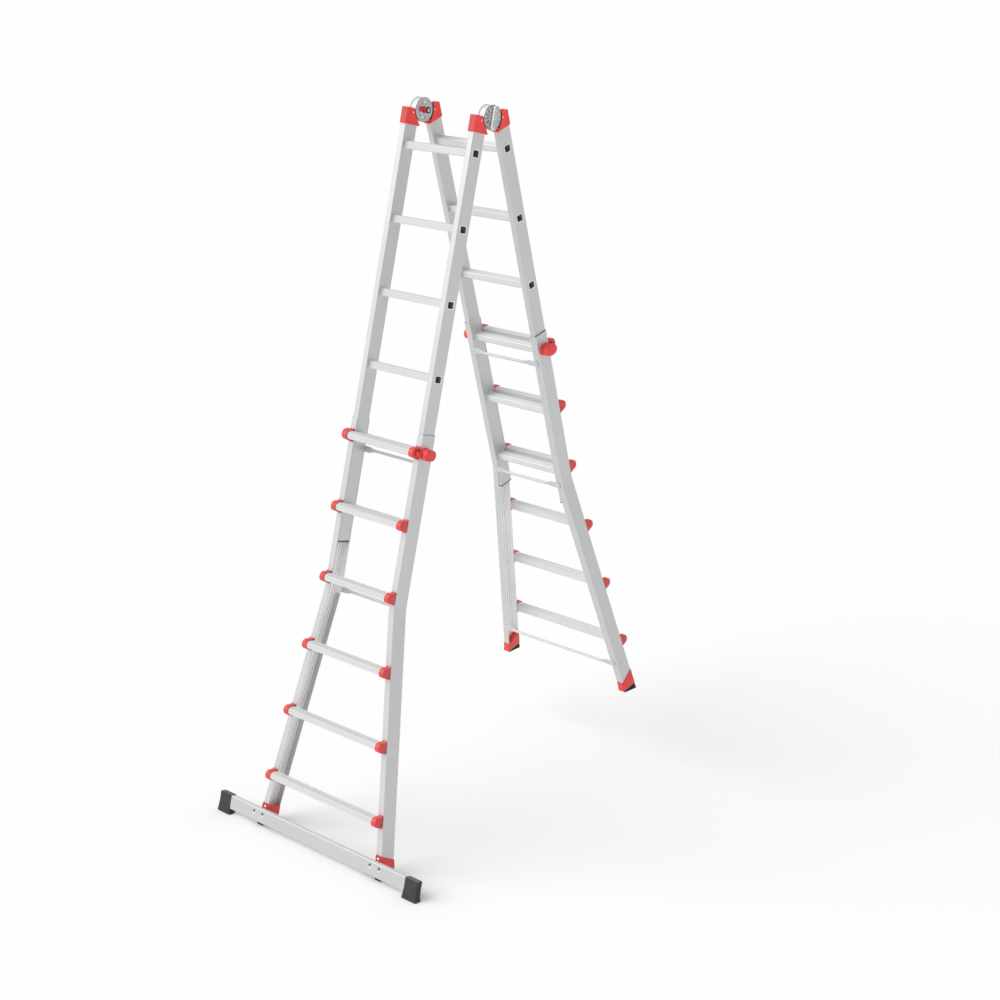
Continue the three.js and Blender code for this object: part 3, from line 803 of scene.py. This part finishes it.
# (growth, bulge, share of the way from inside the shell to the floor)
SOLE_SECTIONS = (
    (0.8, 0, 0), (1.6, 0.6, 0.2), (1.7, 0.8, 0.3), (0.9, 0.8, 0.36), (0.9, 0.8, 0.44),
    (2.2, 0.8, 0.5), (2.3, 0.8, 0.64), (1.4, 0.8, 0.70), (1.4, 0.8, 0.78), (2.4, 0.8, 0.84),
    (2.3, 0.8, 0.95), (1.2, 0.6, 1.0))
SOLE_OVERLAP = 3
LEG_WIDTH = (OUTER_X1 - OUTER_X0) * FLARE_STRETCH
LEG_OUTLINE = round_rect(-LEG_WIDTH / 2, MID_W, LEG_WIDTH, OUTER_W1 - OUTER_W0, 2.5, 5)
FOOT_RIVET = ((0, 4.3), (2.5, 4.1), (4.4, 3.4), (5.0, 2.6), (5.0, 1.5), (0, 1.2))


def foot_outline(half, growth, bulge=0.0, tip=0.0):
    """Leg outline (x from its outer face, w), grown, bulged in x and drawn out at low w."""
    swell = (2.1 if half is FRONT else 1.0) * bulge
    outline = []
    for x, w in inset(LEG_OUTLINE, -growth):
        sign = 1 if x > -LEG_WIDTH / 2 else -1
        outline.append((x + swell * sign * max(0.0, 1 - ((w - MID_W) / 36) ** 4),
                        w - (tip if w < OUTER_W0 + 6 else 0.0)))
    return outline


def leg_face_x(half, v):
    return OUTER_X1 + (v - half.bend_v) * FLARE


def foot_section(half, outline, v_at):
    """Set an outline on the flared leg, at v_at(w)."""
    return [(leg_face_x(half, v_at(w)) + x, w, v_at(w)) for x, w in outline]


def leg_foot(half, side):
    seam = half.sole_v - 17

    def top(w):
        return seam - interpolate(FOOT_RISE[half], w)

    def low(w):
        return seam - interpolate(FOOT_LIFT[half], w)

    def part(name, shape, finish, **options):
        piece(f"{half.tag}_foot_{name}_{side}", shape, half.outer, finish, **options)

    shell = Shape(half, side)
    shell.skin([foot_section(half, foot_outline(half, growth, bulge, tip),
                             lambda w: top(w) + (low(w) - top(w)) * share + extra)
                for growth, bulge, tip, share, extra in SHELL_SECTIONS])
    # Front shell faces turned away from the rear half take the darker red: painted shade
    outward = {"second": SHELL_FACE_SHADE_RED, "where": lambda x, w, v, normal: normal[1] > 0.7}
    part("shell", shell, RED, replaces=f"{half.tag}_foot_{side}", angle=45,
         **(outward if half is FRONT else {}))

    sole = Shape(half, side)
    sole.skin([foot_section(half, foot_outline(half, growth, bulge),
                            lambda w: low(w) - SOLE_OVERLAP
                            + (half.floor_v(w) - low(w) + SOLE_OVERLAP) * share)
               for growth, bulge, share in SOLE_SECTIONS])
    part("sole", sole, SOLE, angle=40)

    if half is FRONT:
        # Ledge standing out past the shell, on the side next to the other half
        ledge = Shape(half, side)
        plate = [(x * 0.96, w - (8.5 if w < MID_W else 0)) for x, w in foot_outline(half, 1.0)]
        ledge.skin([foot_section(half, plate, lambda w: low(max(w, OUTER_W0 - 2)) + offset)
                    for offset in (-0.6, 14.0)])
        part("ledge", ledge, LEDGE, angle=40)

    rivet = Shape(half, side)
    v = seam - 56
    rivet.lathe((leg_face_x(half, v) - LEG_WIDTH / 2 - 2, v), FOOT_RIVET, 24, along_w, OUTER_W1)
    part("rivet", rivet, RIVET, angle=40)


# ---- telescoping lock grips ----------------------------------------------------------------------
# Stile outward: (x, w, half size in w, half size in v, v below the first outer rung)
GRIP_SECTIONS = (
    (188.9, 63, 29.0, 21.5, 0.5), (189.4, 63, 30.0, 22.5, 0.5), (193.6, 63, 30.2, 22.7, 0.5),
    (194.6, 63, 29.6, 22.1, 0.6), (195.4, 63.4, 27.6, 20.2, 1.0), (196.6, 63.6, 27.4, 20.0, 1.2),
    (199.0, 64.2, 28.2, 20.9, 1.6), (205, 65, 29.2, 21.8, 2), (213, 65.5, 29.5, 22.0, 2),
    (219.5, 65.8, 29.4, 22.0, 2), (222.4, 66, 28.9, 21.5, 2), (224.0, 66, 27.8, 20.5, 2),
    (225.0, 66, 25.8, 18.8, 2), (225.6, 66, 20, 14, 2), (226.0, 66, 10, 7, 2),
    (226.1, 66, 2, 1.5, 2))
# Tongue running away from the other half: (w, low x, high x)
TONGUE_SECTIONS = (
    (84, 189.2, 204.0), (92, 188.9, 203.2), (100, 188.8, 202.6), (106, 188.8, 202.2),
    (110.5, 188.9, 201.4), (112.4, 189.5, 199.6), (113.0, 190.8, 197.6))


def lock_grip(half, side):
    grip = Shape(half, side)
    grip.sweep([(superellipse(w, half.first_v + dv, half_w, half_v, 0.86, 0.86, 48), x)
                for x, w, half_w, half_v, dv in GRIP_SECTIONS])
    tongue = []
    for w, x0, x1 in TONGUE_SECTIONS:
        half_v = 7.6 + max(0, w - 104) * 0.25
        tongue.append((superellipse((x0 + x1) / 2, half.first_v + 1, (x1 - x0) / 2, half_v,
                                    0.5, 0.6, 24), w))
    grip.sweep(tongue, place=along_w)
    body = f"{half.tag}_lock_{side}"
    piece(f"{half.tag}_lock_grip_{side}_v", grip, body, RED, angle=50)

    pin = Shape(half, side)
    pin.lathe((MID_W, half.first_v),
              ((0, 186.3), (5.8, 186.3), (7, 187.4), (7, 195), (0, 195)), 28)
    piece(f"{half.tag}_lock_pin_{side}", pin, body, PIN_ZINC, angle=40)


# ---- hinge ---------------------------------------------------------------------------------------
CAP_X0, CAP_X1 = 157.0, 188.4
CAP_EDGE = ((1.5, 0), (0.75, 0.35), (0.25, 0.9), (0, 1.8))       # (inset, distance from face)
CAP_RIVET = ((0, 1.5), (1.8, 1.4), (3.0, 0.8), (3.5, 0.1), (3.5, -1.0), (0, -1.2))


def hinge_cap(half, side):
    """Red cap on the top of the inner stile, hollowed around the disc."""
    if half is FRONT:
        up, radius = 0.0, 47.6
        tip = [(12, 59, 3), (9, 63.0, 1.2), (10.5, 64.7, 1.0), (INNER_W1 + 3.6, 65.0, 2.0)]
    else:
        up, radius = 3.6, 52.0
        tip = [(17, 57, 3), (14.5, 61.2, 1.2), (16, 63, 1.0), (INNER_W1 + 3.6, 58.5, 2.0)]
    outline = rounded([(INNER_W1 + 3.6, 5 - up, 2.0), (INNER_W1 + 0.5, 2.6 - up, 2.0),
                       (54, 2.8 - up, 1.0)] + arc(0, 0, radius, 4.5 - up, 51, 16)[1:] + tip)
    cap = Shape(half, side)
    cap.sweep(layers(outline, CAP_EDGE, CAP_X0)
              + [(inset(outline, amount), CAP_X1 - t) for amount, t in reversed(CAP_EDGE)])
    # Cap faces turned away from the other half take the darker red: painted shade
    piece(f"hinge_{half.tag}_cap_{side}_v", cap, half.inner, HINGE_RED, angle=30,
          second=CAP_FACE_SHADE_RED, where=lambda x, w, v, normal: normal[1] > 0.6)


def hinge_cap_rivets(half, side):
    rivets = Shape(half, side)
    for direction, face in ((1, CAP_X1), (-1, CAP_X0)):
        rivets.lathe((MID_W + 1.5, 19), CAP_RIVET, 24, base=face, direction=direction)
    piece(f"hinge_{half.tag}_cap_rivets_{side}", rivets, half.inner, RIVET, angle=40)


def hinge_insert(half, side):
    """Steel insert seen in the top of the rear cap."""
    insert = Shape(half, side)
    insert.sweep(layers(round_rect(172.7, 62.0, 22.6, 20, 2.0, 3),
                        ((0.8, -2.4), (0, -1.6), (0, 6.1))), place=along_v)
    piece(f"hinge_{half.tag}_insert_{side}", insert, half.inner, DARK_EDGE, angle=40)


class Disc:
    """Hinge disc of one half. Depths are measured from the rim face into the drum."""

    def __init__(self, half):
        self.half, self.front = half, half is FRONT
        if self.front:
            self.rim_x, self.inward, self.back = 188.6, -1, 15.8
            self.bore, self.hub, self.lean = 4.9, 15.5, 0.0
        else:
            self.rim_x, self.inward, self.back = 156.8, 1, 15.4
            self.bore, self.hub, self.lean = 13.0, 18.5, OPENING

    def x(self, depth):
        return self.rim_x + self.inward * depth

    def stations(self, outlines_at_depth):
        return [(outline, self.x(depth)) for outline, depth in outlines_at_depth]

    def slot(self, end, growth=0.0):
        """Oblong lock slot; end 1 or -1 picks one of the two."""
        shape = round_rect(0, 0, 24 + 2 * growth, 10.5 + 2 * growth, 5 + growth, 5)
        moved = [(x, y + end * SLOT_RADIUS) for x, y in shape]
        return [(self.half.y_sign * x, -y) for x, y in rotated(moved, -self.lean)]

    def piece(self, name, side, shape, finish, angle=30, cuts=()):
        piece(f"hinge_{self.half.tag}_disc{name.format(side)}", shape, self.half.inner, finish,
              cuts, angle=angle)


def disc_drum(disc, side):
    """Turned drum with a rim, a recessed face and a raised hub."""
    hub, bore = disc.hub, disc.bore
    profile = (                                                  # (radius, depth)
        (bore, disc.back), (42.2, disc.back), (43, disc.back - 0.8), (43, 3.0), (46.0, 3.0),
        (46.5, 2.4), (46.5, 0.9), (46.1, 0.3), (45.4, 0.0), (42.4, 0.0), (41.6, 0.5),
        (41.2, 2.9), (hub + 0.8, 2.9), (hub, 0.6), (hub - 0.6, 0.1), (bore + 1.0, 0.1),
        (bore, 0.9))
    drum, cuts = Shape(disc.half, side), []
    drum.tube(disc.stations(hoop(profile, 72)))
    for end in (1, -1):
        cut = Shape(disc.half, side)
        cut.solid([disc.slot(end)], [150, 195])
        cuts.append(cut)
    disc.piece("_{}_v", side, drum, DRUM, cuts=cuts)


def disc_edge(disc, side):
    """Dark rolled edge of the rim."""
    edge = Shape(disc.half, side)
    profile = ((46.8, 1.6), (46.8, 0.1), (46.2, -0.4), (44.2, -0.4), (44.0, 0.2), (44.0, 1.1))
    edge.tube(disc.stations(hoop(profile, 72)))
    disc.piece("_edge_{}", side, edge, RING, angle=40)


def disc_web(disc, side):
    """Raised rims round the slots, and radial ribs on the front disc."""
    web = Shape(disc.half, side)
    for end in (1, -1):
        rim, opening = disc.slot(end, 3.0), disc.slot(end, 0.35)
        crest = inset(rim, 0.5)
        web.tube(disc.stations([(rim, 3.2), (rim, 0.9), (crest, 0.4)]))
        web.tube(disc.stations([(opening, 3.2), (opening, 0.4)]))
        web.fill([rim, opening], disc.x(3.2))
        web.fill([crest, opening], disc.x(0.4))
    rib_angles = (38, 63, 90, 117, 142) if disc.front else ()
    near, far, half_width = disc.hub - 0.4, 41.9, 1.3
    for rib_angle in rib_angles:
        for base in (90, 270):
            c, s = cos(radians(base + rib_angle)), sin(radians(base + rib_angle))
            rib = [(radius * c - across * s, radius * s + across * c) for radius, across in (
                (near, half_width), (far, half_width), (far, -half_width), (near, -half_width))]
            web.sweep(disc.stations([(rib, 3.1), (rib, 1.1), (inset(rib, 0.4), 0.7)]))
    disc.piece("_web_{}", side, web, PRESSED_AND_EDGE_HIGHLIGHT if disc.front else DARK_ZINC)


def hinge_arm(half, side):
    """Arm from the disc down into the inner stile."""
    low, high = INNER_W0 + 4, INNER_W1 - 4
    arm = Shape(half, side)
    arm.solid([rounded([(20, 0), (58, 16, 6), (high, 44, 4), (high, 118, 3), (low, 118, 3),
                        (low, 47, 3), (14, 30)], steps=3)],
              [174, 181] if half is FRONT else [163, 170])
    piece(f"hinge_{half.tag}_arm_{side}", arm, half.inner, DARK_ZINC, angle=30)


def disc_recess(disc, side):
    """Thin floor of the ring-shaped recess, darker than the drum: painted shade in the recess."""
    recess = Shape(disc.half, side)
    loops = [circle(0, 0, 41.1, 48), circle(0, 0, disc.hub + 1.2, 48),
             disc.slot(1, 1.0), disc.slot(-1, 1.0)]
    for depth in (2.75, 2.95):
        recess.fill(loops, disc.x(depth))
    for loop in loops:
        recess.tube(disc.stations([(loop, 2.75), (loop, 2.95)]))
    disc.piece("_recess_{}", side, recess, DARK_ZINC if disc.front else RECESS_SHADE)


def disc_slot_floor(disc, side):
    floor = Shape(disc.half, side)
    for end in (1, -1):
        outline = disc.slot(end, -0.05)
        floor.sweep(disc.stations([(outline, 3.6), (outline, 5.2)]))
    disc.piece("_slot_floor_{}", side, floor, PRESSED_AND_EDGE_HIGHLIGHT)


# Far edge of the black crescent of painted shadow: (degrees, radius)
CRESCENT_SHADOW_EDGE = ((64, 49.6), (58, 53.4), (50, 53.8), (42, 53.2), (30, 52.9), (18, 52.9), (8, 52.9),
              (1, 52.4), (-3, 50.6))


def hinge_liner(half, side):
    """Black crescent between the disc and the rear cap: painted shadow standing in for the dark gap
    there.
    """
    crescent_shadow = Shape(half, side)
    edge = [(radius * cos(radians(a)), radius * sin(radians(a))) for a, radius in CRESCENT_SHADOW_EDGE]
    crescent_shadow.solid([arc(0, 0, 47.0, -3, 64, 20) + edge], [156.75, 188.65])
    piece(f"hinge_{half.tag}_liner_{side}", crescent_shadow, half.inner, BLACK, angle=30)


def hinge_guide(half, side):
    """Oblong red guide of the knob on the inner face."""
    guide, hole = Shape(half, side), Shape(half, side)
    guide.sweep(layers(rotated(round_rect(0, 0, 54, 20, 8, 6), OPENING),
                       ((0, 157.4), (0, 153.2), (0.5, 152.2), (1.4, 151.8))))
    hole.solid([circle(0, 0, 13.0, 48)], [140, 170])
    piece(f"hinge_{half.tag}_guide_{side}", guide, half.inner, RED, [hole], angle=35)


def hinge(half, side):
    disc = Disc(half)
    hinge_cap(half, side)
    hinge_cap_rivets(half, side)
    if half is REAR:
        hinge_insert(half, side)
    disc_drum(disc, side)
    disc_edge(disc, side)
    disc_web(disc, side)
    hinge_arm(half, side)
    disc_recess(disc, side)
    if half is REAR:
        disc_slot_floor(disc, side)
        hinge_liner(half, side)
        hinge_guide(half, side)


# ---- hinge locks ---------------------------------------------------------------------------------
LOCK_SHIFT = {"left": 0, "right": 4}       # how far each lock stands outward
PLATE_X = 198.6
PLATE_LAYERS = ((2.2, -3.0), (0.9, -2.6), (0.2, -1.8), (0, -1.0), (0, 0.4), (0.4, 1.0),
                (3.6, 3.0), (6.5, 3.0))                          # (inset, x from PLATE_X)
# Profiles: (radius, x)
LOCK_PIN = ((0, 173.2), (3.2, 173.2), (4, 174.2), (4, 200.9), (5.6, 200.9), (5.6, 201.9),
            (4.6, 202.7), (0, 203.0))
LOCK_AXLE = ((0, 131.6), (5.4, 131.6), (6.6, 132.4), (6.6, 134.4), (4.5, 134.6), (4.5, 200.9),
             (7.5, 200.9), (7.5, 202.0), (6.4, 202.8), (3.0, 202.9), (2.4, 202.0), (0, 201.9))
KNOB = ((5.0, 135.2), (9.8, 135.2), (11.4, 135.8), (12.2, 137.2), (12.1, 140), (11.4, 144),
        (10.8, 148), (10.6, 152), (10.6, 155), (10.6, 156.4), (10.0, 157.2), (5.0, 157.2))
KNOB_RING = ((6.6, 138.5), (6.6, 133.8), (7.2, 133.0), (11.2, 133.0), (12.4, 133.8),
             (12.8, 134.8), (12.8, 137.6), (12.2, 138.2))


def lock_lever(side, shift):
    """Plate outside the hinge with two lock pins and the axle."""
    lever = Shape(FRONT, side)
    plate = rotated(round_rect(0, 0, 30, 90, 13, 8), 180)        # starts at its lower end
    lever.sweep(layers(plate, PLATE_LAYERS, PLATE_X + shift))
    for v in (-SLOT_RADIUS, SLOT_RADIUS):
        lever.lathe((0, v), LOCK_PIN, 28, base=shift)
    lever.lathe((0, 0), LOCK_AXLE, 32, base=shift)
    # Side and bevel faces not turned toward the rear half take the pale zinc: a painted highlight
    # on the lever's edges
    piece(f"hinge_lock_lever_{side}_v", lever, f"hinge_lock_{side}", LEVER, angle=35,
          second=PRESSED_AND_EDGE_HIGHLIGHT, where=lambda x, w, v, normal: abs(normal[0]) < 0.9 and normal[1] > -0.2)


def lock_knob(side, shift):
    """Knob with twelve shallow flutes round its waist."""
    count, stations = 60, []
    for radius, x in KNOB:
        flute = 0.45 if 141 < x < 155 else 0.0
        outline = []
        for i in range(count):
            a = 2 * pi * i / count
            r = radius - flute * (0.5 + 0.5 * cos(12 * a))
            outline.append((r * cos(a), r * sin(a)))
        stations.append((outline, x + shift))
    knob = Shape(FRONT, side)
    knob.tube(stations + stations[:1])
    piece(f"hinge_lock_knob_{side}_v", knob, f"hinge_lock_{side}", RED, angle=40)


def lock_ring(side, shift):
    ring = Shape(FRONT, side)
    ring.tube(hoop(KNOB_RING, 40, shift))
    piece(f"hinge_lock_ring_{side}", ring, f"hinge_lock_{side}", BLACK, angle=40)


# ---- stabiliser ----------------------------------------------------------------------------------
BAR_W0, BAR_W1, BAR_V0, BAR_V1 = 93.2, 116.6, 2809, 2865
BAR_HALF_LENGTH, BAR_WALL = 545, 2
SCREWS = [(s * x, 2829.0) for s in (-1, 1) for x in (302, 351)]  # (x, v)
# Profiles: (radius, w)
SCREW_HOLE = ((0, 112), (10.8, 112), (10.8, 119), (0, 119))
SCREW_CUP = ((0, 112.4), (10.6, 112.4), (10.7, 116.4), (11.5, 116.5), (11.7, 116.75),
             (11.3, 116.9), (10.3, 116.6), (8.0, 113.7), (6.0, 113.0), (0, 112.95))
SCREW_HEAD = ((0, 112.9), (4.4, 112.9), (4.6, 114.4), (3.8, 115.1), (2.2, 115.3), (1.9, 114.2),
              (0, 114.1))
# Sides and corner radius of the stabiliser feet: (v, value)
BOOT_X0 = [(2807, 487.4), (2835, 488.2), (2855, 488.0), (2870, 485.6), (2882, 482.4),
           (2894, 480.2), (2900, 480.0)]
BOOT_X1 = [(2807, 552.2), (2835, 551.4), (2852, 551.8), (2868, 554.2), (2882, 558.0),
           (2890, 559.4), (2895, 558.6), (2900, 556)]
BOOT_W0 = [(2807, BAR_W0 - 1.8), (2868, BAR_W0 - 1.9), (2880, BAR_W0 - 4.4),
           (2890, BAR_W0 - 7.6), (2900, BAR_W0 - 8)]
BOOT_W1 = [(2807, BAR_W1 + 1.8), (2862, BAR_W1 + 1.8), (2882, BAR_W1 + 2.6),
           (2900, BAR_W1 + 3.4)]
BOOT_RADIUS = [(2862, 2.6), (2884, 9.0), (2900, 11.0)]
# (v, inset)
BOOT_STATIONS = ((2807.0, 0.9), (2807.2, 0.35), (2807.8, 0), (2809.2, 0), (2811.5, 0),
                 (2812.6, 0.35), (2813.8, 0.35), (2815, 0), (2838, 0), (2850, 0), (2862, 0),
                 (2868, 0), (2874, 0), (2880, 0), (2884, 0), (2895, 0), (2895.5, 1.6))


def stabiliser_bar():
    bar, holes = Shape(FRONT), []
    w, v = (BAR_W0 + BAR_W1) / 2, (BAR_V0 + BAR_V1) / 2
    width, height = BAR_W1 - BAR_W0, BAR_V1 - BAR_V0
    bar.solid([round_rect(w, v, width, height, 3.2, 5),
               round_rect(w, v, width - 2 * BAR_WALL, height - 2 * BAR_WALL, 1.6, 3)],
              [-BAR_HALF_LENGTH, BAR_HALF_LENGTH])
    for screw in SCREWS:
        hole = Shape(FRONT)
        hole.lathe(screw, SCREW_HOLE, 32, along_w)
        holes.append(hole)
    # The top face takes the lighter copy: painted light
    piece("stabiliser_bar_v", bar, FRONT.outer, BAR, holes, angle=30, second=BAR_TOP_PAINTED_LIGHT,
          where=lambda x, w, v, normal: v < BAR_V0 + 2.9)


def stabiliser_screws():
    cups, heads = Shape(FRONT), Shape(FRONT)
    for x, v in SCREWS:
        cups.lathe((x, v), SCREW_CUP, 32, along_w)
        heads.lathe((x - 1.0, v - 1.6), SCREW_HEAD, 24, along_w)
    piece("stabiliser_screw_cups", cups, FRONT.outer, CUP, angle=40)
    piece("stabiliser_screw_heads", heads, FRONT.outer, DARK_EDGE, angle=40)


def boot_section(v, amount):
    """Section of a stabiliser foot; the last two follow the floor, the rest stay above it."""
    x0, x1 = interpolate(BOOT_X0, v) + amount, interpolate(BOOT_X1, v) - amount
    w0, w1 = interpolate(BOOT_W0, v) + amount, interpolate(BOOT_W1, v) - amount
    outline = round_rect((x0 + x1) / 2, (w0 + w1) / 2, x1 - x0, w1 - w0,
                         interpolate(BOOT_RADIUS, v), 5)
    section = []
    for x, w in outline:
        floor = FRONT.floor_v(w)
        if v > 2890:
            depth = floor - (0 if v > 2895 else 1.4)
        else:
            depth = min(v, floor - 2.0)
        section.append((x, w, depth))
    return section


def stabiliser_foot(side):
    foot = Shape(FRONT, side)
    foot.skin([boot_section(*station) for station in BOOT_STATIONS])
    piece(f"stabiliser_foot_{side}_v", foot, FRONT.outer, RUBBER, angle=40)


# ---- stage ---------------------------------------------------------------------------------------
def stage():
    size, z = 60, -0.0006                  # metres
    mesh = bpy.data.meshes.new("floor")
    corners = [(x * size, y * size, z) for x, y in ((-1, -1), (1, -1), (1, 1), (-1, 1))]
    mesh.from_pydata(corners, [], [(0, 1, 2, 3)])
    floor = link_object("floor", mesh)
    paint = Shader("floor").finish(None, Base_Color=(0.94, 0.94, 0.94, 1), Roughness=0.95,
                                   Specular_IOR_Level=0.0)
    mesh.materials.append(paint.material)


def lighting():
    world = bpy.data.worlds.new("studio")
    bpy.context.scene.world = world
    world.use_nodes = True
    tree = world.node_tree
    tree.nodes.clear()
    background = tree.nodes.new("ShaderNodeBackground")
    output = tree.nodes.new("ShaderNodeOutputWorld")
    tree.links.new(background.outputs[0], output.inputs[0])
    background.inputs["Color"].default_value = (1, 1, 1, 1)
    background.inputs["Strength"].default_value = 0.66
    sun = bpy.data.lights.new("key", "SUN")
    sun.energy = 1.95
    sun.angle = radians(55)
    toward_sun = Vector((-0.42, -0.62, 0.62))
    link_object("key", sun).rotation_euler = toward_sun.to_track_quat("Z", "Y").to_euler()


def camera():
    lens = bpy.data.cameras.new("camera")
    viewer = link_object("camera", lens)
    yaw, pitch, roll = radians(41.01), radians(-17.96), radians(0.91)
    forward = Vector((-sin(yaw) * cos(pitch), cos(yaw) * cos(pitch), sin(pitch)))
    right = Vector((cos(yaw), sin(yaw), 0))
    up = right.cross(forward)
    axes = (cos(roll) * right + sin(roll) * up, -sin(roll) * right + cos(roll) * up, -forward)
    place = (4.8557, -5.2873 + HINGE_Y / 1000, 3.5894)
    rows = [[axis[i] for axis in axes] + [place[i]] for i in range(3)]
    viewer.matrix_world = Matrix(rows + [[0, 0, 0, 1]])
    lens.sensor_width = 36
    lens.lens = 68.216
    lens.shift_x, lens.shift_y = -0.0007, 0.0009
    lens.clip_start, lens.clip_end = 0.05, 300
    bpy.context.scene.camera = viewer
    view = bpy.context.scene.view_settings
    view.view_transform = "Standard"
    view.look = "None"
    view.exposure = 0
    view.gamma = 1


# ---- assembly ------------------------------------------------------------------------------------
for half in HALVES:
    for side in SIDES:
        inner_stile(half, side)
        inner_plug(half, side)
    for k in range(RUNG_COUNT):
        inner_rung(half, k + 1, TOP_RUNG_V + k * PITCH)
        inner_rung_lip(half, k + 1, TOP_RUNG_V + k * PITCH)
for make in (outer_stile, outer_seal):
    for half in HALVES:
        for side in SIDES:
            make(half, side)
for make in (outer_rungs, tie_rods):
    for half in HALVES:
        make(half)
for make in (leg_foot, lock_grip, hinge):
    for half in HALVES:
        for side in SIDES:
            make(half, side)
for side, shift in LOCK_SHIFT.items():
    lock_lever(side, shift)
    lock_knob(side, shift)
    lock_ring(side, shift)
stabiliser_bar()
stabiliser_screws()
for side in SIDES:
    stabiliser_foot(side)
stage()
lighting()
camera()
